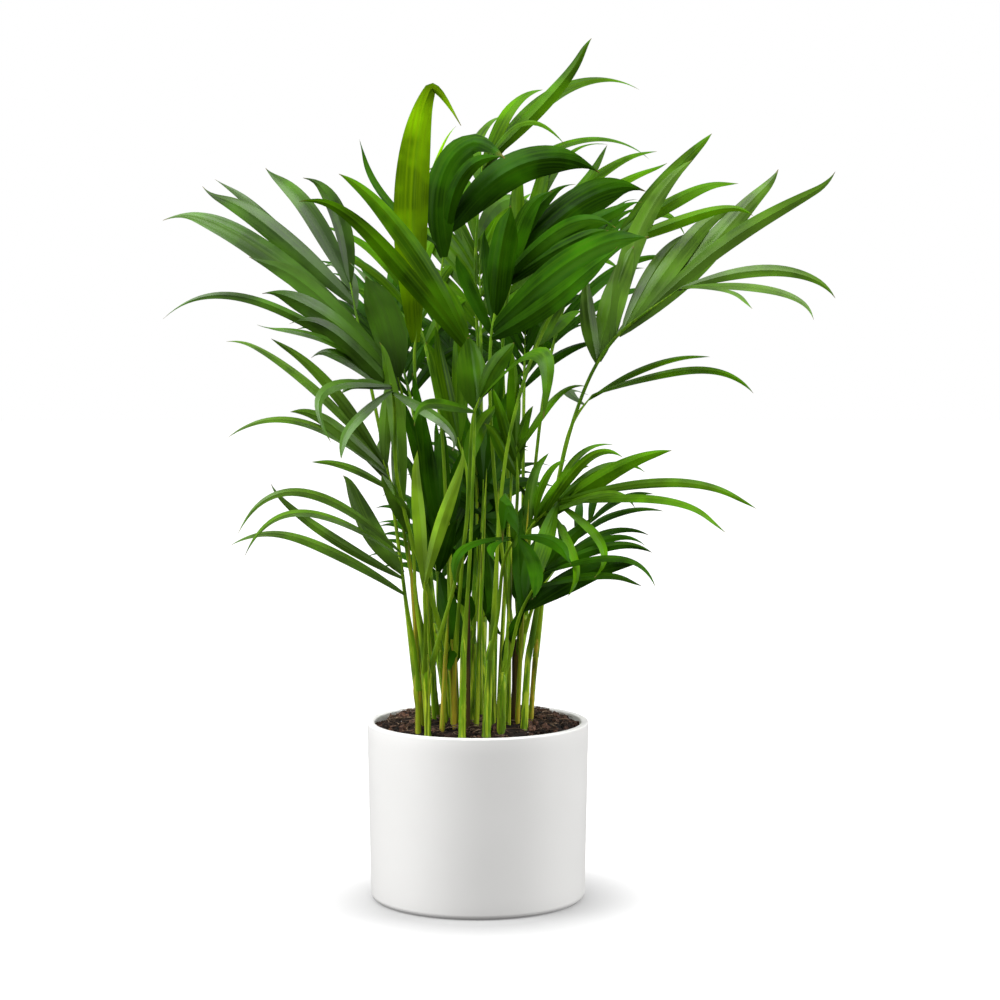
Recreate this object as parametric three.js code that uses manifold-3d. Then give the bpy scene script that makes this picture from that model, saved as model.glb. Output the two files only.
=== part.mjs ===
// Potted areca palm: a white cylinder pot filled with soil, a clump of slender stems and
// the feather fronds they carry. Millimetres, +Z up, +X to the right of the front view, and
// +Y away from the viewer. The origin is the centre of the pot's underside.
import * as THREE from "three";
import { mergeVertices } from "three/addons/utils/BufferGeometryUtils.js";
import Module from "manifold-3d";

const wasm = await Module();
wasm.setup();

// Pot
const POT_RADIUS = 100;
const POT_HEIGHT = 160;
const POT_LOW_RADIUS = 97;
const POT_WALL = 6.7;
const POT_FLOOR = 8;
const POT_EDGE = 5;
const RIM_ROUND = 1.2;
const POT_SIDES = 40;

// Soil
const GAP = 0.3;
const SOIL_TOP = 158;
const SOIL_EDGE_TOP = 155;
const SOIL_FLAT_RADIUS = 86;

// Front view: across and up are read off a board that faces an eye in front of the plant
const EYE = new THREE.Vector3(20, -2100, 506);
const LOOK_DOWN = THREE.MathUtils.degToRad(3.98);
const BOARD_DISTANCE = 2107;
const BOARD_ACROSS = 20;
const BOARD_UP = 355.5;
const FORWARD = new THREE.Vector3(0, Math.cos(LOOK_DOWN), -Math.sin(LOOK_DOWN));
const BOARD_UPWARD = new THREE.Vector3(0, Math.sin(LOOK_DOWN), Math.cos(LOOK_DOWN));
const RIGHT = new THREE.Vector3(1, 0, 0);
const UP = new THREE.Vector3(0, 0, 1);

// Stems, ribs and leaflets
const STEM_SIDES = 6;
const STEM_STEPS = 4;
const STEM_BOW = 0.12;
const STEM_WAIST = 0.86;
const STEM_SWELLS_FROM = 0.55;
const RIB_SIDES = 4;
const RIB_STEPS = 7;
const FOOT_RADIUS = 1.9;
const NECK_RADIUS = 1.7;
const END_RADIUS = 1.2;
const LEAF_THINNEST = 1.5;
const LEAF_THICKNESS_SHARE = 0.011;
const LEAF_OUTLINE = [0.36, 0.82, 1, 1, 0.9, 0.62, 0];
const STRAIGHT_LEAF = 0.01;
const LONG_LEAF = 140;
const LONG_LEAF_STEPS = 5;
const SHORT_LEAF_STEPS = 4;
const SEEN_TO_BLADE = 1.34;
const LEAF_SWING = 26;
const SWING_START = 0.4;
const SWING_STEP = 2.2;
const ARCH_MIDDLE = 0.76;
const LEAN_AT_MIDDLE = 0.7;
const CLEARANCE = 0.28;
const WELD = 0.05;
const RIB_LEANS = [0, 7, -7, 14, -14, 21, -21, 28, -28];
const LEAF_LEANS = [0, 14, -14, 28, -28, 42, -42, 60, -60, 80, -80];

// Each stem: name, foot x and y, top across and up in the front view, top depth, foot radius, top radius
const STEMS = [
  ["stem_left", -52, -60, -54, 184, -60, 2.7, 4.1],
  ["stem_left_front", -43, -76, -46, 200, -78, 2.9, 4.5],
  ["stem_left_back", -36, -16, -42, 206, -20, 3, 4.1],
  ["stem_thin", -27, -42, -32, 204, -42, 2.2, 2.4],
  ["stem_middle_left", -20, -58, -23, 214, -56, 3.4, 4.5],
  ["stem_middle_front", -13, -82, -13, 216, -80, 3.2, 2.8],
  ["stem_middle", -3, -34, -5, 226, -28, 4.1, 4.2],
  ["stem_middle_right_front", 8, -80, 11, 212, -77, 3.8, 4.1],
  ["stem_right_front", 21, -70, 22, 184, -68, 4.1, 4.1],
  ["stem_old_brown", 32, -38, 35, 214, -35, 3.3, 4.1],
  ["stem_right", 41, -60, 45, 210, -54, 3.4, 2.8],
  ["stem_right_outer", 47, -30, 52, 214, -22, 2.4, 2.6],
  ["stem_back_left", -28, 34, -38, 232, 48, 3.8, 4.5],
  ["stem_back", 4, 46, 4, 246, 60, 3.9, 4.5],
  ["stem_back_right", 32, 28, 40, 236, 36, 3.6, 4.5],
  ["stem_back_middle", -8, 6, -12, 244, 12, 3.2, 4.1],
];

const POT_WHITE = 0xe9e8e4;
const SOIL_BROWN = 0x33241a;
const DEEP = 0x1f4a10;
const BLUE = 0x2c5530;
const LEAF = 0x3b7516;
const FRESH = 0x69a512;
const PALE = 0x87b52a;

// Each near frond: knee, neck and end of its rib as across, up and depth, and its leaflets as
// share of the rib, tip across, tip up, tip depth, width and arch, all as seen on the board
const FRONDS = [
  {
    name: "frond_left_high", stem: "stem_left", colour: BLUE, turn: 25,
    knee: [-80, 374, 0], neck: [-105, 500, 16], end: [-115, 551, 34],
    leaflets: [
      [0.2, -279, 613, 30, 24, 16],
      [0.6, -253, 631, 70, 19, 21],
      [0.8, -238, 643, 110, 10, 10],
      [0.9, -196, 652, 80, 18, 3],
      [1.0, -154, 647, 40, 16, 13],
      [0.5, -150, 560, 170, 14, 22],
    ],
  },
  {
    name: "frond_left_fan", stem: "stem_left_back", colour: BLUE, turn: 25,
    knee: [-69, 350, -26], neck: [-67, 442, -34], end: [-72, 466, -38],
    leaflets: [
      [0.9, -209, 570, -70, 20, 16],
      [0.6, -283, 520, -110, 9, 42],
      [0.5, -193, 544, -130, 20, 13],
      [0.2, -199, 508, -165, 8, 18],
      [1.0, -103, 556, -50, 31, 6],
      [0.8, -119, 568, 0, 9, 15],
    ],
  },
  {
    name: "frond_middle_high", stem: "stem_middle_left", colour: DEEP, turn: 20,
    knee: [-30, 380, -24], neck: [-37, 517, -6], end: [-28, 597, 6],
    leaflets: [
      [0.8, -104, 681, 50, 8, -15],
      [0.7, -8, 676, 0, 36, 15],
      [1.0, 110, 649, 30, 24, 32],
      [0.95, 26, 663, -50, 14, 22],
    ],
  },
  {
    name: "frond_crossing", stem: "stem_middle_front", colour: LEAF, turn: 20,
    knee: [-6, 330, -72], neck: [-4, 470, -52], end: [-9, 497, -50],
    leaflets: [
      [0.9, -125, 649, -70, 20, 13],
      [0.6, -157, 628, -115, 15, 16],
      [1.0, -43, 562, -40, 15, 3],
    ],
  },
  {
    name: "frond_young_tall", stem: "stem_left_back", colour: FRESH, turn: 10,
    knee: [-48, 350, -10], neck: [-57, 484, -2], end: [-55, 508, 0],
    leaflets: [
      [0.5, -43, 724, 8, 35, 11],
      [1.0, -22, 692, 60, 14, 14],
    ],
  },
  {
    name: "frond_back_top", stem: "stem_middle", colour: LEAF, turn: 25,
    knee: [2, 427, 20], neck: [-2, 572, 44], end: [4, 657, 66],
    leaflets: [
      [1.0, 99, 774, 90, 17, -4],
      [0.9, 143, 727, 130, 18, 31],
      [0.95, 78, 674, 30, 7, 30],
      [0.6, 155, 661, 190, 7, 32],
      [0.8, 30, 700, 230, 15, 20],
      [0.5, -60, 640, 210, 14, 24],
      [0.2, 60, 610, 235, 14, 24],
    ],
  },
  {
    name: "frond_right_crown", stem: "stem_old_brown", colour: DEEP, turn: 25,
    knee: [14, 390, -16], neck: [12, 501, -6], end: [26, 566, 10],
    leaflets: [
      [0.8, 124, 602, -50, 16, 19],
      [0.3, 31, 620, -30, 27, 3],
      [0.9, 149, 636, 30, 27, 18],
      [1.0, 146, 627, 0, 16, 1],
      [0.7, 117, 600, -10, 16, 5],
      [0.1, 155, 589, -100, 25, 19],
      [0.0, 126, 581, -140, 20, -3],
      [0.2, 4, 600, 20, 11, 0],
      [0.05, -21, 576, 10, 13, 0],
    ],
  },
  {
    name: "frond_right_back", stem: "stem_back_right", colour: LEAF, turn: 35,
    knee: [26, 400, 40], neck: [24, 520, 52], end: [40, 590, 66],
    leaflets: [
      [1.0, 115, 676, 130, 10, -9],
      [0.9, 58, 670, 100, 16, -5],
      [0.95, 163, 668, 165, 12, 13],
      [0.85, 173, 656, 120, 11, 8],
      [0.6, 90, 600, 235, 14, 22],
      [0.3, 130, 560, 200, 14, 22],
      [0.5, 10, 610, 220, 14, 22],
    ],
  },
  {
    name: "frond_right_high", stem: "stem_middle_right_front", colour: LEAF, turn: 25,
    knee: [30, 420, -40], neck: [74, 536, -10], end: [128, 596, 14],
    leaflets: [
      [1.0, 211, 685, 80, 14, 2],
      [0.9, 236, 638, 30, 15, 12],
      [0.75, 247, 615, -20, 12, 9],
      [0.95, 186, 594, 100, 9, 20],
      [-0.5, 86, 546, 40, 13, 3],
      [-0.4, 94, 527, 70, 12, 3],
    ],
  },
  {
    name: "frond_right_long", stem: "stem_right", colour: LEAF, turn: 20,
    knee: [86, 427, -38], neck: [120, 497, -34], end: [183, 547, -30],
    leaflets: [
      [-0.3, 98, 558, -60, 17, -3],
      [-0.28, 140, 584, -10, 24, 3],
      [0.12, 274, 650, 30, 23, 2],
      [0.5, 326, 645, -20, 14, 3],
      [0.95, 322, 539, -70, 11, 25],
      [1.0, 304, 520, -130, 8, 18],
      [0.97, 245, 527, -165, 9, 11],
    ],
  },
  {
    name: "frond_right_arc", stem: "stem_right_outer", colour: LEAF, turn: 50,
    knee: [72, 372, 12], neck: [86, 426, 26], end: [103, 450, 34],
    leaflets: [
      [0.8, 210, 483, 60, 8, 11],
      [1.0, 248, 451, 10, 10, 22],
      [0.6, 100, 450, 190, 12, 18],
    ],
  },
  {
    name: "frond_right_low", stem: "stem_old_brown", colour: LEAF, turn: 30,
    knee: [39, 270, -40], neck: [44, 324, -42], end: [74, 356, -60],
    leaflets: [
      [0.2, 175, 399, -90, 16, 10],
      [0.95, 250, 343, -140, 9, 24],
      [0.9, 220, 321, -185, 9, 23],
      [1.0, 150, 382, -50, 9, 14],
      [0.75, 124, 404, -10, 8, 17],
      [0.6, 130, 396, -130, 10, 16],
      [0.1, 66, 397, -10, 10, 9],
      [0.3, 79, 392, -80, 11, 9],
      [0.7, 80, 269, -120, 9, 14],
      [0.9, 52, 268, -145, 13, 3],
    ],
  },
  {
    name: "frond_right_lowest", stem: "stem_right_front", colour: DEEP, turn: 25,
    knee: [29, 214, -64], neck: [38, 252, -68], end: [60, 293, -82],
    leaflets: [
      [1.0, 151, 315, -60, 8, 13],
      [0.95, 157, 307, -115, 9, 13],
      [0.9, 160, 277, -165, 7, 22],
      [0.1, 145, 298, -85, 20, 10],
      [0.6, 147, 275, -140, 7, 12],
      [0.0, 50, 292, -40, 14, 0],
      [0.4, 104, 338, -66, 15, 6],
    ],
  },
  {
    name: "frond_front_drooping", stem: "stem_middle_right_front", colour: LEAF, turn: 30,
    knee: [18, 252, -84], neck: [24, 302, -92], end: [36, 324, -108],
    leaflets: [
      [0.6, 27, 350, -205, 19, 6],
      [0.9, -18, 275, -165, 9, 24],
      [1.0, 50, 266, -190, 12, 8],
    ],
  },
  {
    name: "frond_front_folded", stem: "stem_left_front", colour: FRESH, turn: 10,
    knee: [-12, 320, -86], neck: [-4, 430, -90], end: [2, 448, -92],
    leaflets: [
      [0.4, -8, 502, -90, 28, 0],
      [1.0, 33, 497, -110, 18, 3],
      [0.9, 57, 426, -175, 19, 58],
      [0.2, -58, 425, -170, 10, 14],
    ],
  },
  {
    name: "frond_front_young", stem: "stem_left_front", colour: PALE, turn: 5,
    knee: [-47, 238, -94], neck: [-48, 268, -98], end: [-48, 282, -100],
    leaflets: [
      [0.5, -54, 400, -104, 12, -2],
      [0.8, -12, 403, -120, 13, 0],
    ],
  },
  {
    name: "frond_middle_narrow", stem: "stem_right_front", colour: LEAF, turn: 15,
    knee: [31, 290, -60], neck: [36, 368, -54], end: [34, 402, -52],
    leaflets: [
      [1.0, 32, 489, -48, 14, 0],
      [0.8, 96, 459, -10, 7, 10],
      [0.5, 14, 455, -64, 10, 0],
      [0.2, 6, 424, -36, 14, 3],
      [0.0, 58, 300, -10, 13, 10],
    ],
  },
  {
    name: "frond_middle_pleated", stem: "stem_middle_left", colour: PALE, turn: 10,
    knee: [-14, 300, -62], neck: [-9, 374, -60], end: [-18, 412, -58],
    leaflets: [
      [1.0, -37, 513, -54, 13, -2],
      [0.9, -20, 508, -28, 16, 2],
      [0.7, -45, 498, -36, 15, 0],
      [0.2, 18, 440, -26, 16, 6],
    ],
  },
  {
    name: "frond_middle_dark", stem: "stem_middle", colour: DEEP, turn: 10,
    knee: [1, 285, -18], neck: [4, 330, -14], end: [5, 374, -8],
    leaflets: [
      [1.0, 0, 441, 0, 15, 0],
      [0.8, 20, 423, 16, 15, 2],
      [0.5, -21, 390, 12, 14, 3],
      [0.3, 26, 368, 30, 14, 3],
      [0.1, -22, 276, 16, 15, 8],
      [0.2, 34, 262, 20, 15, 8],
      [0.0, 8, 250, -40, 14, 6],
    ],
  },
  {
    name: "frond_left_drooping", stem: "stem_middle_left", colour: LEAF, turn: 20,
    knee: [-72, 372, -74], neck: [-75, 440, -86], end: [-78, 460, -94],
    leaflets: [
      [0.9, -132, 407, -185, 10, 38],
      [0.7, -121, 392, -150, 12, 12],
      [0.8, -122, 450, -120, 10, 8],
      [0.6, -20, 401, -150, 12, 10],
    ],
  },
  {
    name: "frond_left_long", stem: "stem_left_front", colour: DEEP, turn: 25,
    knee: [-56, 262, -74], neck: [-60, 318, -68], end: [-86, 391, -66],
    leaflets: [
      [1.0, -223, 501, -20, 9, 12],
      [0.95, -188, 499, -75, 10, 12],
      [0.85, -169, 434, -110, 13, 10],
      [0.8, -225, 410, -140, 8, 30],
      [0.6, -150, 388, -90, 7, 8],
      [1.0, -87, 412, -30, 9, 0],
      [0.1, -87, 378, -95, 15, 2],
      [0.4, -85, 498, -48, 15, 3],
    ],
  },
  {
    name: "frond_left_lowest", stem: "stem_left", colour: DEEP, turn: 25,
    knee: [-57, 222, -66], neck: [-64, 261, -70], end: [-70, 309, -72],
    leaflets: [
      [0.2, -223, 313, -100, 10, 24],
      [0.5, -187, 369, -60, 9, -7],
      [1.0, -216, 328, -140, 9, 42],
      [0.9, -210, 303, -190, 7, 41],
      [0.6, -119, 379, -50, 19, -5],
    ],
  },
  {
    name: "frond_middle_low", stem: "stem_thin", colour: DEEP, turn: 15,
    knee: [-34, 236, -40], neck: [-36, 275, -36], end: [-33, 328, -30],
    leaflets: [
      [0.2, -26, 201, -66, 15, 12],
      [1.0, -32, 423, -20, 15, 0],
      [0.9, -50, 434, -44, 10, -2],
      [0.7, -7, 405, -6, 15, 3],
      [0.8, -72, 402, 4, 11, 3],
      [0.3, -18, 338, -58, 13, 2],
      [0.4, -52, 350, -22, 12, -2],
      [0.1, -6, 246, -30, 13, 9],
      [0.5, -58, 470, -30, 14, 2],
    ],
  },
];

// Each frond of the far side: name, stem, colour, direction in plan, then the reach from its
// stem and the height of its neck and of its end, the length of its longest leaflet, and its pairs
const FAR_FRONDS = [
  ["frond_far_high", "stem_back", LEAF, 92, 40, 500, 96, 590, 150, 4],
  ["frond_far_left", "stem_back_left", DEEP, 112, 62, 440, 130, 530, 140, 4],
  ["frond_far_right", "stem_back_right", DEEP, 62, 58, 490, 118, 580, 135, 4],
  ["frond_far_low", "stem_back", DEEP, 92, 76, 330, 150, 386, 112, 4],
  ["frond_far_left_low", "stem_back_left", LEAF, 98, 60, 306, 124, 340, 84, 3],
  ["frond_far_right_low", "stem_back_right", LEAF, 50, 56, 300, 110, 340, 90, 3],
  ["frond_far_left_high", "stem_back_middle", LEAF, 122, 66, 490, 112, 570, 130, 4],
  ["frond_far_middle", "stem_back", LEAF, 102, 84, 440, 160, 500, 125, 4],
  ["frond_far_lowest", "stem_back_middle", DEEP, 104, 76, 270, 140, 304, 100, 3],
  ["frond_far_right_high", "stem_back_right", LEAF, 88, 56, 450, 126, 530, 125, 4],
];
const FAR_TURN = 45;
const FAR_WIDTH = 6;
const FAR_WIDTH_SHARE = 0.07;
const FAR_ARCH_SHARE = 0.13;
const FAR_DROOP_SHARE = 0.2;
const FAR_SPREAD = [46, 16];
const FAR_SPREAD_SWAY = 5;
const FAR_LENGTH_SWAY = 0.06;
const FAR_LONGEST_AT = 0.45;
const FAR_SHORTENING = 0.32;
const FAR_PAIR_START = 0.4;
const FAR_KNEE_REACH = 0.4;
const FAR_KNEE_UP = 0.55;

// The point in space that the eye sees at a place on the board and at a depth behind the pot's axis
function seenAt(across, up, depth) {
  const ray = FORWARD.clone().multiplyScalar(BOARD_DISTANCE);
  ray.addScaledVector(RIGHT, across - BOARD_ACROSS);
  ray.addScaledVector(BOARD_UPWARD, up - BOARD_UP);
  ray.multiplyScalar((depth - EYE.y) / ray.y);
  return ray.add(EYE);
}

// Where on the board the eye sees a point, with its depth
function boardPlace(point) {
  const ray = point.clone().sub(EYE);
  const scale = BOARD_DISTANCE / ray.dot(FORWARD);
  return [
    ray.dot(RIGHT) * scale + BOARD_ACROSS,
    ray.dot(BOARD_UPWARD) * scale + BOARD_UP,
    point.y,
  ];
}

// A closed geometry as a solid that joins and cuts
function solidOf(geometry) {
  geometry.deleteAttribute("normal");
  geometry.deleteAttribute("uv");
  const merged = mergeVertices(geometry, 1e-4);
  const mesh = new wasm.Mesh({
    numProp: 3,
    vertProperties: new Float32Array(merged.attributes.position.array),
    triVerts: new Uint32Array(merged.index.array),
  });
  return new wasm.Manifold(mesh);
}

// A solid's outer skin as a geometry, any hollow sealed inside it filled and loose scraps dropped
function geometryOf(solid) {
  const parts = solid.decompose().sort((a, b) => b.volume() - a.volume());
  const mesh = parts[0].getMesh();
  const geometry = new THREE.BufferGeometry();
  const positions = new Float32Array(mesh.numVert * 3);
  for (let vertex = 0; vertex < mesh.numVert; vertex++) {
    for (let axis = 0; axis < 3; axis++) {
      positions[vertex * 3 + axis] = mesh.vertProperties[vertex * mesh.numProp + axis];
    }
  }
  geometry.setAttribute("position", new THREE.BufferAttribute(positions, 3));
  geometry.setIndex(new THREE.BufferAttribute(new Uint32Array(mesh.triVerts), 1));
  geometry.computeVertexNormals();
  return geometry;
}

// Moves a cylinder's or cone's rings onto a curve: place gives each ring vertex its spot
function bendAlong(geometry, place) {
  const position = geometry.attributes.position;
  for (let vertex = 0; vertex < position.count; vertex++) {
    const along = position.getY(vertex) + 0.5;
    const spot = place(along, position.getX(vertex), position.getZ(vertex));
    position.setXYZ(vertex, spot.x, spot.y, spot.z);
  }
  return geometry;
}

// A tapering limb with level cuts at its foot and, where asked, at its top
function limbSolid(curve, sides, steps, radiusAt, levelTop) {
  const place = (along, x, z) => {
    const centre = curve.getPoint(along);
    const isLevel = along < 1e-6 || (levelTop && along > 1 - 1e-6);
    const tangent = isLevel ? UP.clone() : curve.getTangent(along);
    const normal = new THREE.Vector3(0, -1, 0).addScaledVector(tangent, tangent.y).normalize();
    const side = tangent.clone().cross(normal);
    const radius = radiusAt(along);
    return centre.addScaledVector(side, x * radius).addScaledVector(normal, z * radius);
  };
  return solidOf(bendAlong(new THREE.CylinderGeometry(1, 1, 1, sides, steps), place));
}

// The outline's share of the full width at a share of the leaflet's length
function outlineAt(along) {
  const spot = along * (LEAF_OUTLINE.length - 1);
  const lower = Math.min(Math.floor(spot), LEAF_OUTLINE.length - 2);
  return THREE.MathUtils.lerp(LEAF_OUTLINE[lower], LEAF_OUTLINE[lower + 1], spot - lower);
}

// A leaflet: a long blade with a low ridge, narrow at its root and pointed at its tip. It faces
// the given way at its middle and bends to both ends about one hinge line, without a twist
function leafletSolid(curve, width, face) {
  const thickness = Math.max(LEAF_THINNEST, curve.getLength() * LEAF_THICKNESS_SHARE);
  const middleTangent = curve.getTangent(0.5);
  const middleSide = middleTangent.clone().cross(face).normalize();
  const hinge = curve.getTangent(0).cross(curve.getTangent(1));
  if (hinge.length() < STRAIGHT_LEAF) {
    hinge.copy(middleSide);
  }
  hinge.normalize();
  const hingeShare = middleSide.dot(hinge);
  const bendShare = middleSide.dot(hinge.clone().cross(middleTangent));
  const place = (along, x, z) => {
    const centre = curve.getPoint(along);
    const tangent = curve.getTangent(along);
    const side = hinge.clone().cross(tangent).multiplyScalar(bendShare);
    side.addScaledVector(hinge, hingeShare);
    const normal = side.clone().cross(tangent);
    const share = outlineAt(along);
    const halfWidth = (width * share) / Math.sqrt(3);
    const height = (thickness * Math.min(1, 0.3 + share)) / 1.5;
    return centre.addScaledVector(side, x * halfWidth).addScaledVector(normal, z * height);
  };
  const steps = curve.getLength() > LONG_LEAF ? LONG_LEAF_STEPS : SHORT_LEAF_STEPS;
  return solidOf(bendAlong(new THREE.ConeGeometry(1, 1, 3, steps), place));
}

function isClear(solid, others) {
  return others.every((other) => solid.minGap(other, CLEARANCE) >= CLEARANCE);
}

// The level disc at a stem's top where its fronds stand
function stemTop(row) {
  return seenAt(row[3], row[4], row[5]);
}

function stemCurve(row) {
  const foot = new THREE.Vector3(row[1], row[2], SOIL_TOP + GAP);
  const top = stemTop(row);
  const middle = foot.clone().lerp(top, 0.5);
  middle.x += STEM_BOW * (foot.x - top.x);
  return new THREE.QuadraticBezierCurve3(foot, middle, top);
}

function stemSolid(row) {
  const radiusAt = (along) => {
    const waist = THREE.MathUtils.lerp(row[6], row[6] * STEM_WAIST, along);
    return THREE.MathUtils.lerp(waist, row[7], THREE.MathUtils.smoothstep(along, STEM_SWELLS_FROM, 1));
  };
  return limbSolid(stemCurve(row), STEM_SIDES, STEM_STEPS, radiusAt, true);
}

// The feet of a stem's fronds: evenly round its top, in the order of the sides they lean to
function placeFeet(row, growing) {
  const middle = new THREE.Vector3();
  growing.forEach((frond) => middle.addScaledVector(frond.kneePoint, 1 / growing.length));
  const angleOf = (frond) => Math.atan2(frond.kneePoint.y - middle.y, frond.kneePoint.x - middle.x);
  const ordered = [...growing].sort((a, b) => angleOf(a) - angleOf(b));
  ordered.forEach((frond, place) => {
    const angle = angleOf(ordered[0]) + (2 * Math.PI * place) / ordered.length;
    const reach = ordered.length > 1 ? row[7] - FOOT_RADIUS : 0;
    frond.foot = stemTop(row);
    frond.foot.add(new THREE.Vector3(reach * Math.cos(angle), reach * Math.sin(angle), GAP));
  });
}

function ribCurve(frond, lean) {
  const knee = frond.kneePoint.clone().setY(frond.kneePoint.y + lean);
  const neck = frond.neckPoint.clone().setY(frond.neckPoint.y + lean);
  const end = frond.endPoint.clone().setY(frond.endPoint.y + lean);
  return new THREE.CatmullRomCurve3([frond.foot, knee, neck, end], false, "centripetal");
}

function ribSolid(curve) {
  const radiusAt = (along) => {
    if (along < 2 / 3) {
      return THREE.MathUtils.lerp(FOOT_RADIUS, NECK_RADIUS, along * 1.5);
    }
    return THREE.MathUtils.lerp(NECK_RADIUS, END_RADIUS, along * 3 - 2);
  };
  return limbSolid(curve, RIB_SIDES, RIB_STEPS, radiusAt, false);
}

// The rib's point at a share of the way from its neck to its end
function ribPoint(curve, share) {
  return curve.getPoint((2 + share) / 3);
}

// A near frond's leaflet, arched on the board towards its upper side
function nearLeafletCurve(rib, leaflet, lean) {
  const [share, across, up, depth, , arch] = leaflet;
  const base = ribPoint(rib, share);
  const [baseAcross, baseUp, baseDepth] = boardPlace(base);
  const run = across - baseAcross;
  const rise = up - baseUp;
  const side = (Math.sign(run) || 1) / Math.hypot(run, rise);
  const middle = seenAt(
    baseAcross + ARCH_MIDDLE * run - 2 * arch * rise * side,
    baseUp + ARCH_MIDDLE * rise + 2 * arch * run * side,
    baseDepth + ARCH_MIDDLE * (depth - baseDepth) + LEAN_AT_MIDDLE * lean,
  );
  return new THREE.QuadraticBezierCurve3(base, middle, seenAt(across, up, depth + lean));
}

// The way a near frond's leaflets face: towards the viewer, turned up by the frond's angle,
// and each swung to the left or the right by an amount of its own
function nearFace(frond, place) {
  const turn = THREE.MathUtils.degToRad(frond.turn);
  const swing = THREE.MathUtils.degToRad(LEAF_SWING * Math.cos(SWING_START + SWING_STEP * place));
  const level = Math.cos(turn);
  return new THREE.Vector3(Math.sin(swing) * level, -Math.cos(swing) * level, Math.sin(turn));
}

// A far frond's leaflet: pair after pair, shorter to the end and drooping at the tip
function farLeafletCurve(rib, frond, pair, hand, lean) {
  const share = (pair + FAR_PAIR_START) / frond.pairs;
  const base = ribPoint(rib, share);
  const tangent = rib.getTangent((2 + share) / 3);
  const side = tangent.clone().cross(UP).normalize().multiplyScalar(hand);
  const sway = FAR_SPREAD_SWAY * Math.sin(7 * pair + hand);
  const spread = THREE.MathUtils.degToRad(THREE.MathUtils.lerp(...FAR_SPREAD, share) + sway);
  const lengthSway = 1 + FAR_LENGTH_SWAY * Math.sin(5 * pair + 2 * hand);
  const length = frond.length * lengthSway * (1 - FAR_SHORTENING * Math.abs(share - FAR_LONGEST_AT));
  const heading = tangent.multiplyScalar(Math.cos(spread)).addScaledVector(side, Math.sin(spread));
  const tip = base.clone().addScaledVector(heading, length);
  tip.z += lean - FAR_DROOP_SHARE * length;
  const middle = base.clone().lerp(tip, 0.5);
  middle.z += 2 * FAR_ARCH_SHARE * length;
  return new THREE.QuadraticBezierCurve3(base, middle, tip);
}

function farFace(frond) {
  const turn = THREE.MathUtils.degToRad(FAR_TURN);
  const away = frond.endPoint.clone().sub(frond.kneePoint).setZ(0).normalize();
  return away.multiplyScalar(-Math.cos(turn)).addScaledVector(UP, Math.sin(turn));
}

// Every leaflet of a frond as its width, the way it faces and the curve it takes for a lean
function leafletRules(frond) {
  const rules = [];
  if (frond.leaflets) {
    for (const [place, leaflet] of frond.leaflets.entries()) {
      rules.push({
        width: leaflet[4] * SEEN_TO_BLADE,
        face: nearFace(frond, place),
        curveAt: (lean) => nearLeafletCurve(frond.rib, leaflet, lean),
      });
    }
    return rules;
  }
  for (let pair = 0; pair < frond.pairs; pair++) {
    for (const hand of [-1, 1]) {
      rules.push({
        width: FAR_WIDTH + FAR_WIDTH_SHARE * frond.length,
        face: farFace(frond),
        curveAt: (lean) => farLeafletCurve(frond.rib, frond, pair, hand, lean),
      });
    }
  }
  return rules;
}

// Turns the far side's rows into fronds with places in space
function farFrond(row) {
  const [name, stem, colour, direction, neckReach, neckUp, endReach, endUp, length, pairs] = row;
  const top = stemTop(STEMS.find((candidate) => candidate[0] === stem));
  const turn = THREE.MathUtils.degToRad(direction);
  const heading = new THREE.Vector3(Math.cos(turn), Math.sin(turn), 0);
  const reached = (reach, height) => top.clone().addScaledVector(heading, reach).setZ(height);
  return {
    name,
    stem,
    colour,
    length,
    pairs,
    kneePoint: reached(neckReach * FAR_KNEE_REACH, THREE.MathUtils.lerp(top.z, neckUp, FAR_KNEE_UP)),
    neckPoint: reached(neckReach, neckUp),
    endPoint: reached(endReach, endUp),
  };
}

function nearFrond(frond) {
  return {
    ...frond,
    kneePoint: seenAt(...frond.knee),
    neckPoint: seenAt(...frond.neck),
    endPoint: seenAt(...frond.end),
  };
}

function potGeometry() {
  const inner = POT_RADIUS - POT_WALL;
  const profile = [
    [0, 0],
    [POT_LOW_RADIUS - POT_EDGE, 0],
    [POT_LOW_RADIUS - POT_EDGE * 0.3, POT_EDGE * 0.3],
    [POT_LOW_RADIUS, POT_EDGE],
    [POT_RADIUS, POT_HEIGHT - RIM_ROUND],
    [POT_RADIUS - RIM_ROUND, POT_HEIGHT],
    [inner + RIM_ROUND, POT_HEIGHT],
    [inner, POT_HEIGHT - RIM_ROUND],
    [POT_LOW_RADIUS - POT_WALL, POT_FLOOR],
    [0, POT_FLOOR],
  ];
  const points = profile.map(([radius, height]) => new THREE.Vector2(radius, height));
  return new THREE.LatheGeometry(points, POT_SIDES).rotateX(Math.PI / 2);
}

function soilGeometry() {
  const wallAt = (height) => {
    const share = (height - POT_FLOOR) / (POT_HEIGHT - RIM_ROUND - POT_FLOOR);
    return THREE.MathUtils.lerp(POT_LOW_RADIUS - POT_WALL, POT_RADIUS - POT_WALL, share) - GAP;
  };
  const profile = [
    [0, POT_FLOOR + GAP],
    [wallAt(POT_FLOOR + GAP), POT_FLOOR + GAP],
    [wallAt(SOIL_EDGE_TOP), SOIL_EDGE_TOP],
    [SOIL_FLAT_RADIUS, SOIL_TOP],
    [0, SOIL_TOP],
  ];
  const points = profile.map(([radius, height]) => new THREE.Vector2(radius, height));
  return new THREE.LatheGeometry(points, POT_SIDES).rotateX(Math.PI / 2);
}

const palm = new THREE.Group();

function addPiece(name, geometry, colour, roughness) {
  const material = new THREE.MeshStandardMaterial({ color: colour, roughness, metalness: 0 });
  const mesh = new THREE.Mesh(geometry, material);
  mesh.name = name;
  palm.add(mesh);
}

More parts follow.
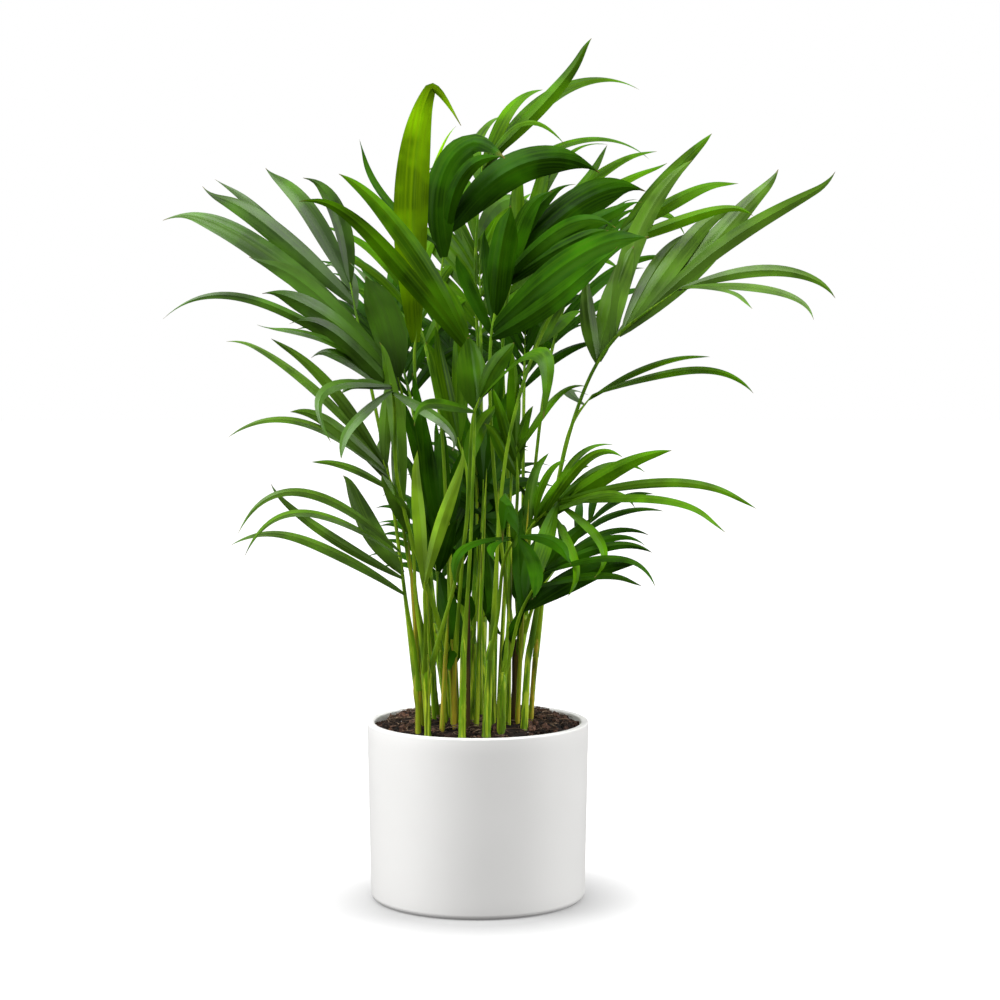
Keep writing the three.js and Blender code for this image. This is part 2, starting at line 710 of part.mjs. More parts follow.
addPiece("pot", geometryOf(solidOf(potGeometry())), POT_WHITE, 0.55);
addPiece("soil", geometryOf(solidOf(soilGeometry())), SOIL_BROWN, 0.95);

const placed = [];
for (const row of STEMS) {
  const solid = stemSolid(row);
  placed.push({ name: row[0], solid });
  addPiece(row[0], geometryOf(solid), PALE, 0.5);
}

const fronds = [...FRONDS.map(nearFrond), ...FAR_FRONDS.map(farFrond)];

// Ribs first, each with the first lean that keeps it clear of all the stems and ribs before it
for (const row of STEMS) {
  placeFeet(row, fronds.filter((frond) => frond.stem === row[0]));
}
for (const frond of fronds) {
  const others = placed.map((piece) => piece.solid);
  for (const lean of RIB_LEANS) {
    const curve = ribCurve(frond, lean);
    const solid = ribSolid(curve);
    if (isClear(solid, others)) {
      frond.rib = curve;
      frond.solid = solid;
      break;
    }
  }
  if (frond.rib) {
    placed.push(frond);
  }
}

// Then the leaflets, each with the first lean that is clear, or left out where none is
for (const frond of fronds.filter((candidate) => candidate.rib)) {
  const others = placed.filter((piece) => piece !== frond).map((piece) => piece.solid);
  for (const rule of leafletRules(frond)) {
    for (const lean of LEAF_LEANS) {
      const blade = leafletSolid(rule.curveAt(lean), rule.width, rule.face);
      if (isClear(blade, others)) {
        frond.solid = frond.solid.add(blade);
        break;
      }
    }
  }
  addPiece(frond.name, geometryOf(frond.solid.simplify(WELD)), frond.colour, 0.45);
}

export default palm;
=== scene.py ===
# Potted areca palm in a white cylinder pot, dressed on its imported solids. Metres, +Z up, with the
# pot's underside on the floor. The growing rules work in millimetres, as the solids' rules do.
import math

import bpy
import numpy as np
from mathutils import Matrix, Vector
from mathutils.bvhtree import BVHTree


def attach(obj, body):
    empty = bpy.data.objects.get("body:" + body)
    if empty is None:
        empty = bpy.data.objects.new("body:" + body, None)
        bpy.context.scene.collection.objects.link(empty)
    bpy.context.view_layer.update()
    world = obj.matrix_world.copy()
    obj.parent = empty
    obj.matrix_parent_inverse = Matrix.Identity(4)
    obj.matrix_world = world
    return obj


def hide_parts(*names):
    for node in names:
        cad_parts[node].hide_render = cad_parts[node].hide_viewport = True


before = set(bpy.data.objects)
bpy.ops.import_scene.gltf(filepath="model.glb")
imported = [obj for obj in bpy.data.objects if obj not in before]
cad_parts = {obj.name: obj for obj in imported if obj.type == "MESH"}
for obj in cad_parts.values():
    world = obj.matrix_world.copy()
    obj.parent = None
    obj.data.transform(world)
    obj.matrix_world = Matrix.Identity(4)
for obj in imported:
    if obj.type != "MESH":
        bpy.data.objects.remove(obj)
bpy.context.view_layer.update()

MM = 0.001
RIGHT = Vector((1, 0, 0))
AWAY = Vector((0, 1, 0))
UP = Vector((0, 0, 1))

# Pot
POT_RADIUS = 100
POT_HEIGHT = 160
POT_LOW_RADIUS = 97
POT_WALL = 6.7
POT_FLOOR = 8
POT_EDGE = 5
POT_HOLLOW = 1.2
POT_UNDERSIDE = ((POT_HOLLOW, 40), (POT_HOLLOW, 86), (0, 87.5))
POT_MIDDLE = (90, 1.4)
POT_STEPS = 12
POT_EDGE_STEPS = 8
RIM_STEPS = 6
RIM_ROUND = 1.4
POT_SIDES = 176
POT_CREASE = 40
POT_WHITES = ((0.83, 0.825, 0.81), (0.87, 0.865, 0.85))

# Soil, its relief (texture, size, depth of detail and strength in metres) and the bits on it: each
# kind of lump with its count, lift and sizes, and each kind's darkest and lightest colour, roughness
# and grain
GAP = 0.3
SOIL_TOP = 158
SOIL_EDGE_TOP = 154.5
SOIL_SIDES = 150
SOIL_RINGS = 56
SOIL_HEAP = 6.5
SOIL_SLOPE = 40
SOIL_SMOOTH_EDGE = 1.5
SOIL_CREASE = 50
SOIL_SEED = 41
SOIL_COLOURS = ((0.003, 0.002, 0.0015), (0.022, 0.012, 0.008))
SOIL_RELIEF = (
    ("soil_heaps", 0.022, 1, 0.006),
    ("soil_lumps", 0.0055, 2, 0.0042),
    ("soil_crumbs", 0.0022, 2, 0.002),
)
LUMPS = (
    ("soil_crumbs", 1700, 0, (0.6, 3.0)),
    ("soil_bark", 260, 0, (1.4, 4.6)),
    ("soil_specks", 34, 0.8, (0.35, 0.8)),
)
LUMP_ROWS = 5
LUMP_COLUMNS = 6
LUMP_MARGIN = 2.5
LUMP_STRETCH = (0.6, 1.5)
LUMP_REACH = (0.7, 1.2)
LUMP_FLATTENING = 0.8
FIBRES = 460
FIBRE_MARGIN = 10.5
FIBRE_LIFT = 1.2
FIBRE_BOW = 0.5
FIBRE_RISE = (0.02, 0.3)
FIBRE_LENGTHS = (5, 20)
FIBRE_RADII = (0.22, 0.6)
FIBRE_STEPS = 7
FIBRE_SIDES = 4
BIT_CREASE = 30
BITS = {
    "soil_crumbs": ((0.004, 0.003, 0.002), (0.060, 0.034, 0.021), 0.9, 700),
    "soil_bark": ((0.020, 0.009, 0.006), (0.200, 0.100, 0.060), 0.8, 500),
    "soil_specks": ((0.45, 0.43, 0.40), (0.80, 0.78, 0.74), 0.8, 600),
    "soil_fibres": ((0.050, 0.028, 0.016), (0.360, 0.250, 0.160), 0.8, 400),
}

# Front view: across and up are read off a board that faces an eye in front of the plant
EYE = Vector((20, -2100, 506))
LOOK_DOWN = math.radians(3.98)
BOARD_DISTANCE = 2107
BOARD_ACROSS = 20
BOARD_UP = 355.5
FORWARD = Vector((0, math.cos(LOOK_DOWN), -math.sin(LOOK_DOWN)))
BOARD_UPWARD = Vector((0, math.sin(LOOK_DOWN), math.cos(LOOK_DOWN)))
LENS = 84.28
SENSOR = 36

# Stems and stalks
STEM_SIDES = 20
STEM_BOW = 0.12
STEM_WAIST = 0.86
STEM_SWELLS_FROM = 0.55
STEM_RING_STEP = 3.0
STEM_CREASE = 50
STEM_FOOT = ((-4, 1.2), (-1, 1.16), (2, 1.04))
SCAR_STEPS = (11, 17)
SCAR_SWELLING = 1.07
SCARRED_SHARE = 0.6
SHEATH_PAST_TOP = 16
SHEATH_LEANS_FROM = 0.94
SHEATH_TAPER = 0.32
SHEATH_CLOSING = 0.3
SHEATH_RINGS = 5
STALK_DEPTH = 2
STALK_FOOT = 1.25
STALK_TAPER = 0.35
STALK_TIP = 0.1
STALK_SIDES = 8
STALK_STEPS = 18

# Ribs
FOOT_RADIUS = 1.9
NECK_RADIUS = 1.7
END_RADIUS = 1.2
RIB_SIDES = 10
RIB_STEPS = 44
RIB_CHANNEL = 0.3
RIB_FLARE = 0.7
FLARED_SHARE = 0.16
RIB_THINNING = 0.45
THINS_FROM = 0.7
RIB_SHARE = 0.92
RIB_LEANS = (0, 7, -7, 14, -14, 21, -21, 28, -28)
RIB_CHECKED = (0.2, 0.35, 0.5, 0.65, 0.8)

# Leaflets. Each outline is the width along a leaflet, from its foot to its tip, as a share of its
# full width, for those that are pointed or blunt, and straight or folded over
OUTLINES = {
    ("pointed", "straight"): (0.30, 0.72, 0.95, 1, 0.9, 0.74, 0.55, 0.34, 0.0),
    ("blunt", "straight"): (0.30, 0.66, 0.90, 1, 1, 0.96, 0.88, 0.74, 0.46, 0.14, 0.0),
    ("pointed", "folded"): (0.30, 0.62, 0.86, 0.92, 0.90, 0.80, 0.64, 0.44, 0.28, 0.24, 0.0),
    ("blunt", "folded"): (0.30, 0.62, 0.86, 1, 1, 1, 0.98, 0.90, 0.62, 0.34, 0.0),
}
LEAF_THICKNESS = 0.34
LEAF_CREASE = 24
LEAF_MAP_WIDTH = 50
LEAF_ROW_LENGTH = 6
LEAF_ROWS = (16, 30)
LEAF_FOLD = (0.10, 0.32)
BROAD_PLEATS = 0.020
NARROW_PLEATS = 0.028
PLEAT_TURNS = (11, 14)
LEAF_WAVE = 0.06
WAVE_TURNS = (8, 15)
LEAF_DROOP = (0.02, 0.14)
TIP_TURN = 34
SWAY_SHARE = 0.014
POINTED_CURL = 0.035
BLUNT_CURL = 0.05
CURL_FROM = 0.8
FOLD_FROM = 0.78
FOLD_ROUNDING = 0.3
BROAD_LEAF = 22
ROOT_SHARE = 0.22
TIP_SHARE = 0.02
SEEN_TO_BLADE = 1.34
FINER_WIDTH = 0.78
LEAF_SWING = 26
SWING_START = 0.4
SWING_STEP = 2.2
ARCH_MIDDLE = 0.76
LEAN_AT_MIDDLE = 0.7
LEAF_LEANS = (0, 14, -14, 28, -28, 42, -42, 60, -60, 80, -80)
LEAF_CHECKED = (0.4, 0.6, 0.8, 0.95)
LEAF_MATCH = 2.4

# Fronds of the far side
FAR_TURN = 45
FAR_WIDTH = 6
FAR_WIDTH_SHARE = 0.07
FAR_ARCH_SHARE = 0.13
FAR_DROOP_SHARE = 0.2
FAR_SPREAD = (46, 16)
FAR_SPREAD_SWAY = 5
FAR_LENGTH_SWAY = 0.06
FAR_LONGEST_AT = 0.45
FAR_SHORTENING = 0.32
FAR_END_SHORTENING = 0.2
FAR_PAIR_START = 0.4
FAR_KNEE_REACH = 0.4
FAR_KNEE_UP = 0.55
FAR_FINER = 2
FAR_OPEN = ("far_left_low", "far_right_low", "far_left_high")
FAR_FINER_WIDTH = 0.8

# Studio: the backdrop's light, what the softboxes face, and each one's name, place, size in metres
# and power in watts
FLOOR_LIGHT = 0.14
FRONT_LIGHT = 0.52
BACK_LIGHT = 0.42
TOP_LIGHT = 0.84
LIT_PLACE = (0, 0, 0.38)
SOFTBOXES = (
    ("left_softbox", (-1.7, -0.5, 0.9), (1.0, 1.6), 24),
    ("right_softbox", (1.9, -0.2, 0.9), (0.8, 1.5), 27),
    ("top_softbox", (-0.4, -0.5, 2.1), (1.3, 1.3), 43),
)

# How the floor's own light grows with the distance from a place near the pot's foot, in metres;
# the dimmer glow near the foot paints a shadow round the pot
FLOOR_SIZE = 24
FLOOR_GREYS = ((0.30, 0.30, 0.30), (0.31, 0.31, 0.31))
FLOOR_GLOW_AND_PAINTED_SHADOW = (0.085, 0.20, 0.21, 0.95)
PAINTED_SHADOW_MIDDLE = (0, -0.03, 0)

# Bark colours: at the soil, higher up, and in the lines along the stem, which on the green and straw
# stems are pale streaks, partly real and partly painted highlight. The stems that aren't green, the
# heights in metres of the two colours, and how lines and bands of painted shade are stretched
BARKS = {
    "green": ((0.115, 0.230, 0.004), (0.140, 0.320, 0.003), (0.390, 0.520, 0.026)),
    "straw": ((0.240, 0.310, 0.014), (0.225, 0.330, 0.006), (0.430, 0.330, 0.022)),
    "brown": ((0.050, 0.030, 0.010), (0.110, 0.080, 0.012), (0.024, 0.013, 0.005)),
}
STEM_BARKS = {"old_brown": "brown", "left": "straw", "middle_left": "straw", "right_outer": "straw"}
STEM_CLIMB = (0.155, 0.26)
STEM_LINES = (7, 7, 0.14)
STEM_SHADE_BANDS = (4.5, 4.5, 0.13)
SHADE_BAND_DARKNESS = 0.35

# Rib colours: dark and bright near the soil, dark and bright in the crown, lit lines, blotches;
# the heights in metres of the first two pairs, and how lines and blotches are stretched
RIB_LOW = ((0.085, 0.210, 0.003), (0.240, 0.375, 0.010))
RIB_HIGH = ((0.060, 0.165, 0.003), (0.115, 0.250, 0.006))
RIB_LIT = (0.250, 0.400, 0.018)
RIB_BLOTCH = (0.030, 0.085, 0.002)
RIB_CLIMB = (0.22, 0.48)
RIB_LINES = (8, 8, 0.12)
RIB_BLOTCHES = (1, 1, 0.3)

# Leaf colours by spray: slot, upper side, under side, roughness and gloss. The under side is partly
# paler in itself and partly painted light shining through the leaf; the fresh tint is young
# yellow-green with painted backlight
LEAF_TINTS = {
    "deep": ("leaf_deep", (0.013, 0.056, 0.0002), (0.034, 0.102, 0.0010), 0.37, 0.03),
    "bluish": ("leaf_bluish", (0.030, 0.084, 0.0026), (0.055, 0.122, 0.007), 0.33, 0.26),
    "light": ("leaf_mid", (0.050, 0.124, 0.0038), (0.094, 0.188, 0.013), 0.34, 0.19),
    "mid": ("leaf_mid", (0.039, 0.121, 0.0002), (0.086, 0.187, 0.0010), 0.35, 0.05),
    "lively": ("leaf_fresh", (0.032, 0.100, 0.0004), (0.068, 0.165, 0.002), 0.35, 0.09),
    "fresh": ("leaf_fresh", (0.125, 0.275, 0.0003), (0.178, 0.315, 0.001), 0.40, 0.03),
    "pale": ("leaf_pale", (0.150, 0.290, 0.008), (0.215, 0.360, 0.019), 0.42, 0.12),
}
DARKEST_LEAF = 0.55
# Darkness of the painted shade in dark patches and towards a leaflet's root, as a share of the darkest
# colour
PAINTED_SHADE_SHARE = 0.7
LIGHTEST_LEAF = 1.3
# Brightness of the painted light in lit patches, as a share of the lightest colour
PAINTED_LIGHT_BRIGHTNESS = 1.8
LEAF_VEINS = (27, 0.9, 30)
DRY_FROM = 0.955
DRY_TIP = (0.16, 0.10, 0.03)

# Each stem, without the stem_ of its name: foot x and y, top across, up and depth in the front
# view, foot radius and top radius
STEMS = {
    "left": (-52, -60, -54, 184, -60, 2.7, 4.1),
    "left_front": (-43, -76, -46, 200, -78, 2.9, 4.5),
    "left_back": (-36, -16, -42, 206, -20, 3, 4.1),
    "thin": (-27, -42, -32, 204, -42, 2.2, 2.4),
    "middle_left": (-20, -58, -23, 214, -56, 3.4, 4.5),
    "middle_front": (-13, -82, -13, 216, -80, 3.2, 2.8),
    "middle": (-3, -34, -5, 226, -28, 4.1, 4.2),
    "middle_right_front": (8, -80, 11, 212, -77, 3.8, 4.1),
    "right_front": (21, -70, 22, 184, -68, 4.1, 4.1),
    "old_brown": (32, -38, 35, 214, -35, 3.3, 4.1),
    "right": (41, -60, 45, 210, -54, 3.4, 2.8),
    "right_outer": (47, -30, 52, 214, -22, 2.4, 2.6),
    "back_left": (-28, 34, -38, 232, 48, 3.8, 4.5),
    "back": (4, 46, 4, 246, 60, 3.9, 4.5),
    "back_right": (32, 28, 40, 236, 36, 3.6, 4.5),
    "back_middle": (-8, 6, -12, 244, 12, 3.2, 4.1),
}

# Each frond of the front view, without the frond_ of its name: its stem, its tint, the angle by which
# its leaflets are turned up, and its rib in places across, up and in depth. A leaflet is its share of
# the rib, its tip across, up and in depth, its width and its arch, as in the solids; the finer ones
# stand between them. By its place in the list, counted from 0, a leaflet may have a shade of its own
# from 0, the darkest, to 1, a width as a share of its solid's, a fuller arch, or a fold, which is the
# place of its tip below the fold
FRONDS = [
    dict(
        name="left_high", stem="left", colour="bluish", turn=25, blunt=True,
        knee=(-80, 374, 0), neck=(-105, 500, 16), end=(-115, 551, 34),
        leaflets=(
            (0.2, -279, 613, 30, 24, 16), (0.6, -253, 631, 70, 19, 21), (0.8, -238, 643, 110, 10, 10),
            (0.9, -196, 652, 80, 18, 3), (1.0, -154, 647, 40, 16, 13), (0.5, -150, 560, 170, 14, 22),
        ),
        shades={0: 0.45, 1: 0.3, 2: 0.2, 3: 0.15, 4: 0.0, 5: 0.8}, arches={1: 13, 2: 4, 3: 13},
    ),
    dict(
        name="left_fan", stem="left_back", colour="bluish", turn=25, blunt=True,
        knee=(-69, 350, -26), neck=(-67, 442, -34), end=(-72, 466, -38),
        leaflets=(
            (0.9, -209, 570, -70, 20, 16), (0.6, -283, 520, -110, 9, 42), (0.5, -193, 544, -130, 20, 13),
            (0.2, -199, 508, -165, 8, 18), (1.0, -103, 556, -50, 31, 6), (0.8, -119, 568, 0, 9, 15),
        ),
        finer=((0.1, -169, 516, -150, 14, 14), (0.2, -150, 486, -120, 13, 10)),
        shades={0: 1, 2: 0.8, 4: 0.8}, arches={1: 38},
    ),
    dict(
        name="middle_high", stem="middle_left", colour="deep", turn=20, blunt=True,
        knee=(-30, 380, -24), neck=(-37, 517, -6), end=(-28, 597, 6),
        leaflets=(
            (0.8, -104, 681, 50, 8, -15), (0.7, -8, 676, 0, 36, 15), (1.0, 110, 649, 30, 24, 32),
            (0.95, 26, 663, -50, 14, 22),
        ),
        shades={1: 0.35, 2: 0.1}, widths={2: 1}, folds={1: (20, 664, -24)},
    ),
    dict(
        name="crossing", stem="middle_front", colour="mid", turn=20,
        knee=(-6, 330, -72), neck=(-4, 470, -52), end=(-9, 497, -50),
        leaflets=(
            (0.9, -125, 649, -70, 20, 13), (0.6, -157, 628, -115, 15, 16), (1.0, -43, 562, -40, 15, 3),
        ),
    ),
    dict(
        name="young_tall", stem="left_back", colour="fresh", turn=10,
        knee=(-48, 350, -10), neck=(-57, 484, -2), end=(-55, 508, 0),
        leaflets=((0.5, -43, 724, 8, 35, 11), (1.0, -22, 692, 60, 14, 14)),
        shades={1: 0}, widths={0: 0.76, 1: 0.3}, folds={0: (-22, 693, -14)},
    ),
    dict(
        name="back_top", stem="middle", colour="mid", turn=25,
        knee=(2, 427, 20), neck=(-2, 572, 44), end=(4, 657, 66),
        leaflets=(
            (1.0, 99, 774, 90, 17, -4), (0.9, 143, 727, 130, 18, 31), (0.95, 78, 674, 30, 7, 30),
            (0.6, 155, 661, 190, 7, 32), (0.8, 30, 700, 230, 15, 20), (0.5, -60, 640, 210, 14, 24),
            (0.2, 60, 610, 235, 14, 24),
        ),
        finer=((0.95, 60, 724, 84, 15, 14),),
        shades={0: 0.35, 1: 0.3}, widths={0: 0.62}, arches={0: -9},
    ),
    dict(
        name="right_crown", stem="old_brown", colour="deep", turn=25, blunt=True,
        knee=(14, 390, -16), neck=(12, 501, -6), end=(26, 566, 10),
        leaflets=(
            (0.8, 124, 602, -50, 16, 19), (0.3, 31, 620, -30, 27, 3), (0.9, 149, 636, 30, 27, 18),
            (1.0, 146, 627, 0, 16, 1), (0.7, 117, 600, -10, 16, 5), (0.1, 155, 589, -100, 25, 19),
            (0.0, 126, 581, -140, 20, -3), (0.2, 4, 600, 20, 11, 0), (0.05, -21, 576, 10, 13, 0),
        ),
        finer=((0.6, 66, 634, 10, 20, 10), (0.5, 84, 642, 20, 15, 14)),
        shades={0: 0.9, 1: 0.6, 2: 0.1, 5: 0.9, 6: 0.8}, widths={2: 0.96, 5: 0.96},
    ),
    dict(
        name="right_back", stem="back_right", colour="mid", turn=35,
        knee=(26, 400, 40), neck=(24, 520, 52), end=(40, 590, 66),
        leaflets=(
            (1.0, 115, 676, 130, 10, -9), (0.9, 58, 670, 100, 16, -5), (0.95, 163, 668, 165, 12, 13),
            (0.85, 173, 656, 120, 11, 8), (0.6, 90, 600, 235, 14, 22), (0.3, 130, 560, 200, 14, 22),
            (0.5, 10, 610, 220, 14, 22),
        ),
        finer=((0.98, 116, 676, 120, 10, 20), (0.9, 40, 651, 92, 15, 4)),
    ),
    dict(
        name="right_high", stem="middle_right_front", colour="mid", turn=25,
        knee=(30, 420, -40), neck=(74, 536, -10), end=(128, 596, 14),
        leaflets=(
            (1.0, 211, 685, 80, 14, 2), (0.9, 236, 638, 30, 15, 12), (0.75, 247, 615, -20, 12, 9),
            (0.95, 186, 594, 100, 9, 20), (-0.5, 86, 546, 40, 13, 3), (-0.4, 94, 527, 70, 12, 3),
        ),
    ),
    dict(
        name="right_long", stem="right", colour="light", turn=20,
        knee=(86, 427, -38), neck=(120, 497, -34), end=(183, 547, -30),
        leaflets=(
            (-0.3, 98, 558, -60, 17, -3), (-0.28, 140, 584, -10, 24, 3), (0.12, 274, 650, 30, 23, 2),
            (0.5, 326, 645, -20, 14, 3), (0.95, 322, 539, -70, 11, 25), (1.0, 304, 520, -130, 8, 18),
            (0.97, 245, 527, -165, 9, 11),
        ),
        finer=((0.3, 236, 620, 24, 20, 12), (0.2, 196, 596, 30, 16, 10), (0.02, 194, 661, 20, 19, 18)),
        shades={0: 0.05, 1: 0.15, 2: 0.6, 3: 0.9}, arches={2: -1, 3: 9, 4: 21, 5: 15},
    ),
    dict(
        name="right_arc", stem="right_outer", colour="mid", turn=50,
        knee=(72, 372, 12), neck=(86, 426, 26), end=(103, 450, 34),
        leaflets=((0.8, 210, 483, 60, 8, 11), (1.0, 248, 451, 10, 10, 22), (0.6, 100, 450, 190, 12, 18)),
    ),
    dict(
        name="right_low", stem="old_brown", colour="mid", turn=30,
        knee=(39, 270, -40), neck=(44, 324, -42), end=(74, 356, -60),
        leaflets=(
            (0.2, 175, 399, -90, 16, 10), (0.95, 250, 343, -140, 9, 24), (0.9, 220, 321, -185, 9, 23),
            (1.0, 150, 382, -50, 9, 14), (0.75, 124, 404, -10, 8, 17), (0.6, 130, 396, -130, 10, 16),
            (0.1, 66, 397, -10, 10, 9), (0.3, 79, 392, -80, 11, 9), (0.7, 80, 269, -120, 9, 14),
            (0.9, 52, 268, -145, 13, 3),
        ),
        finer=(
            (0.0, 50, 388, 14, 14, 0), (0.2, 112, 366, -20, 11, 12), (0.5, 142, 350, -110, 9, 14),
            (0.15, 100, 386, -60, 13, 8), (0.95, 58, 277, -130, 12, 8), (0.9, 107, 286, -120, 10, 18),
        ),
    ),
    dict(
        name="right_lowest", stem="right_front", colour="deep", turn=25,
        knee=(29, 214, -64), neck=(38, 252, -68), end=(60, 293, -82),
        leaflets=(
            (1.0, 151, 315, -60, 8, 13), (0.95, 157, 307, -115, 9, 13), (0.9, 160, 277, -165, 7, 22),
            (0.1, 145, 298, -85, 20, 10), (0.6, 147, 275, -140, 7, 12), (0.0, 50, 292, -40, 14, 0),
            (0.4, 104, 338, -66, 15, 6),
        ),
        finer=((0.2, 24, 204, -34, 12, 4), (0.1, 40, 352, -20, 14, 3), (0.3, 62, 330, -30, 14, 5)),
        shades={3: 0.1, 5: 0.2},
    ),
    dict(
        name="front_drooping", stem="middle_right_front", colour="deep", turn=30, blunt=True,
        knee=(18, 252, -84), neck=(24, 302, -92), end=(36, 324, -108),
        leaflets=((0.6, 27, 350, -205, 19, 6), (0.9, -18, 275, -165, 9, 24), (1.0, 50, 266, -190, 12, 8)),
        finer=((0.8, 16, 300, -150, 10, 12), (0.95, 82, 296, -170, 12, 12)),
        shades={0: 1}, widths={0: 1.1}, folds={0: (22, 319, -206)},
    ),
    dict(
        name="front_folded", stem="left_front", colour="lively", turn=10,
        knee=(-12, 320, -86), neck=(-4, 430, -90), end=(2, 448, -92),
        leaflets=(
            (0.4, -8, 502, -90, 28, 0), (1.0, 33, 497, -110, 18, 3), (0.9, 57, 426, -175, 19, 58),
            (0.2, -58, 425, -170, 10, 14),
        ),
    ),
    dict(
        name="front_young", stem="left_front", colour="pale", turn=5,
        knee=(-47, 238, -94), neck=(-48, 268, -98), end=(-48, 282, -100),
        leaflets=((0.5, -54, 400, -104, 12, -2), (0.8, -12, 403, -120, 13, 0)),
        shades={0: 0.95, 1: 0.5},
    ),
    dict(
        name="middle_narrow", stem="right_front", colour="mid", turn=15,
        knee=(31, 290, -60), neck=(36, 368, -54), end=(34, 402, -52),
        leaflets=(
            (1.0, 32, 489, -48, 14, 0), (0.8, 96, 459, -10, 7, 10), (0.5, 14, 455, -64, 10, 0),
            (0.2, 6, 424, -36, 14, 3), (0.0, 58, 300, -10, 13, 10),
        ),
        finer=((0.3, 50, 440, -20, 11, 4), (0.1, 22, 420, -30, 12, 3)),
    ),
    dict(
        name="middle_pleated", stem="middle_left", colour="mid", turn=10,
        knee=(-14, 300, -62), neck=(-9, 374, -60), end=(-18, 412, -58),
        leaflets=(
            (1.0, -37, 513, -54, 13, -2), (0.9, -20, 508, -28, 16, 2), (0.7, -45, 498, -36, 15, 0),
            (0.2, 18, 440, -26, 16, 6),
        ),
    ),
    dict(
        name="middle_dark", stem="middle", colour="deep", turn=10,
        knee=(1, 285, -18), neck=(4, 330, -14), end=(5, 374, -8),
        leaflets=(
            (1.0, 0, 441, 0, 15, 0), (0.8, 20, 423, 16, 15, 2), (0.5, -21, 390, 12, 14, 3),
            (0.3, 26, 368, 30, 14, 3), (0.1, -22, 276, 16, 15, 8), (0.2, 34, 262, 20, 15, 8),
            (0.0, 8, 250, -40, 14, 6),
        ),
        finer=(
            (0.3, -48, 372, 24, 14, 3), (0.6, 52, 372, 30, 14, 4), (0.2, 40, 326, 34, 16, 6),
            (0.1, -30, 330, 34, 16, 6), (0.9, -14, 424, 14, 13, 2), (0.0, 20, 232, 30, 14, -6),
            (0.0, -14, 228, 30, 14, 6), (0.2, 34, 262, 20, 18, 8), (0.4, 26, 398, 30, 13, 3),
            (0.2, 24, 290, 44, 18, 5), (0.95, 40, 472, 20, 15, 2), (0.9, 26, 486, 26, 14, 2),
            (0.7, -28, 462, 20, 15, 2), (0.95, -34, 436, 10, 13, 2), (0.9, -23, 312, 18, 22, 3),
            (0.95, 31, 315, 24, 22, 4), (0.8, 5, 302, 28, 20, 1),
        ),
    ),
    dict(
        name="left_drooping", stem="middle_left", colour="bluish", turn=20,
        knee=(-72, 372, -74), neck=(-75, 440, -86), end=(-78, 460, -94),
        leaflets=(
            (0.9, -132, 407, -185, 10, 38), (0.7, -121, 392, -150, 12, 12), (0.8, -122, 450, -120, 10, 8),
            (0.6, -20, 401, -150, 12, 10),
        ),
    ),
    dict(
        name="left_long", stem="left_front", colour="light", turn=25,
        knee=(-56, 262, -74), neck=(-60, 318, -68), end=(-86, 391, -66),
        leaflets=(
            (1.0, -223, 501, -20, 9, 12), (0.95, -188, 499, -75, 10, 12), (0.85, -169, 434, -110, 13, 10),
            (0.8, -225, 410, -140, 8, 30), (0.6, -150, 388, -90, 7, 8), (1.0, -87, 412, -30, 9, 0),
            (0.1, -87, 378, -95, 15, 2), (0.4, -85, 498, -48, 15, 3),
        ),
        finer=(
            (0.6, -66, 450, -50, 13, 2), (0.9, -82, 468, -40, 12, 0), (0.7, -140, 424, -70, 13, 9),
            (0.2, -76, 360, -80, 12, 3),
        ),
    ),
    dict(
        name="left_lowest", stem="left", colour="light", turn=25,
        knee=(-57, 222, -66), neck=(-64, 261, -70), end=(-70, 309, -72),
        leaflets=(
            (0.2, -223, 313, -100, 10, 24), (0.5, -187, 369, -60, 9, -7), (1.0, -216, 328, -140, 9, 42),
            (0.9, -210, 303, -190, 7, 41), (0.6, -119, 379, -50, 19, -5),
        ),
    ),
    dict(
        name="middle_low", stem="thin", colour="deep", turn=15,
        knee=(-34, 236, -40), neck=(-36, 275, -36), end=(-33, 328, -30),
        leaflets=(
            (0.2, -26, 201, -66, 15, 12), (1.0, -32, 423, -20, 15, 0), (0.9, -50, 434, -44, 10, -2),
            (0.7, -7, 405, -6, 15, 3), (0.8, -72, 402, 4, 11, 3), (0.3, -18, 338, -58, 13, 2),
            (0.4, -52, 350, -22, 12, -2), (0.1, -6, 246, -30, 13, 9), (0.5, -58, 470, -30, 14, 2),
        ),
        finer=(
            (0.3, -27, 201, -66, 21, 5), (0.6, -14, 298, 24, 15, 3), (0.8, -54, 384, 26, 13, 3),
            (0.7, -40, 428, 4, 12, 2), (0.5, -66, 356, 26, 13, 4), (0.9, -70, 450, -10, 14, 2),
        ),
    ),
]

# Each frond of the far side: its stem, its tint and the way it heads, how far its neck and its end
# reach and how high they are, the length of its longest leaflets and its number of pairs
# Most far fronds take the deep tint, painted shade on the fronds behind the crown
FAR_FRONDS = [
    ("far_high", "back", "mid", 92, 40, 500, 96, 590, 150, 4),
    ("far_left", "back_left", "deep", 112, 62, 440, 130, 530, 140, 4),
    ("far_right", "back_right", "deep", 62, 58, 490, 118, 580, 135, 4),
    ("far_low", "back", "deep", 92, 76, 330, 150, 386, 112, 4),
    ("far_left_low", "back_left", "deep", 98, 60, 306, 124, 340, 84, 3),
    ("far_right_low", "back_right", "deep", 50, 56, 300, 110, 340, 90, 3),
    ("far_left_high", "back_middle", "mid", 122, 66, 490, 112, 570, 130, 4),
    ("far_middle", "back", "deep", 102, 84, 440, 160, 500, 125, 4),
    ("far_lowest", "back_middle", "deep", 104, 76, 270, 140, 304, 100, 3),
    ("far_right_high", "back_right", "deep", 88, 56, 450, 126, 530, 125, 4),
]

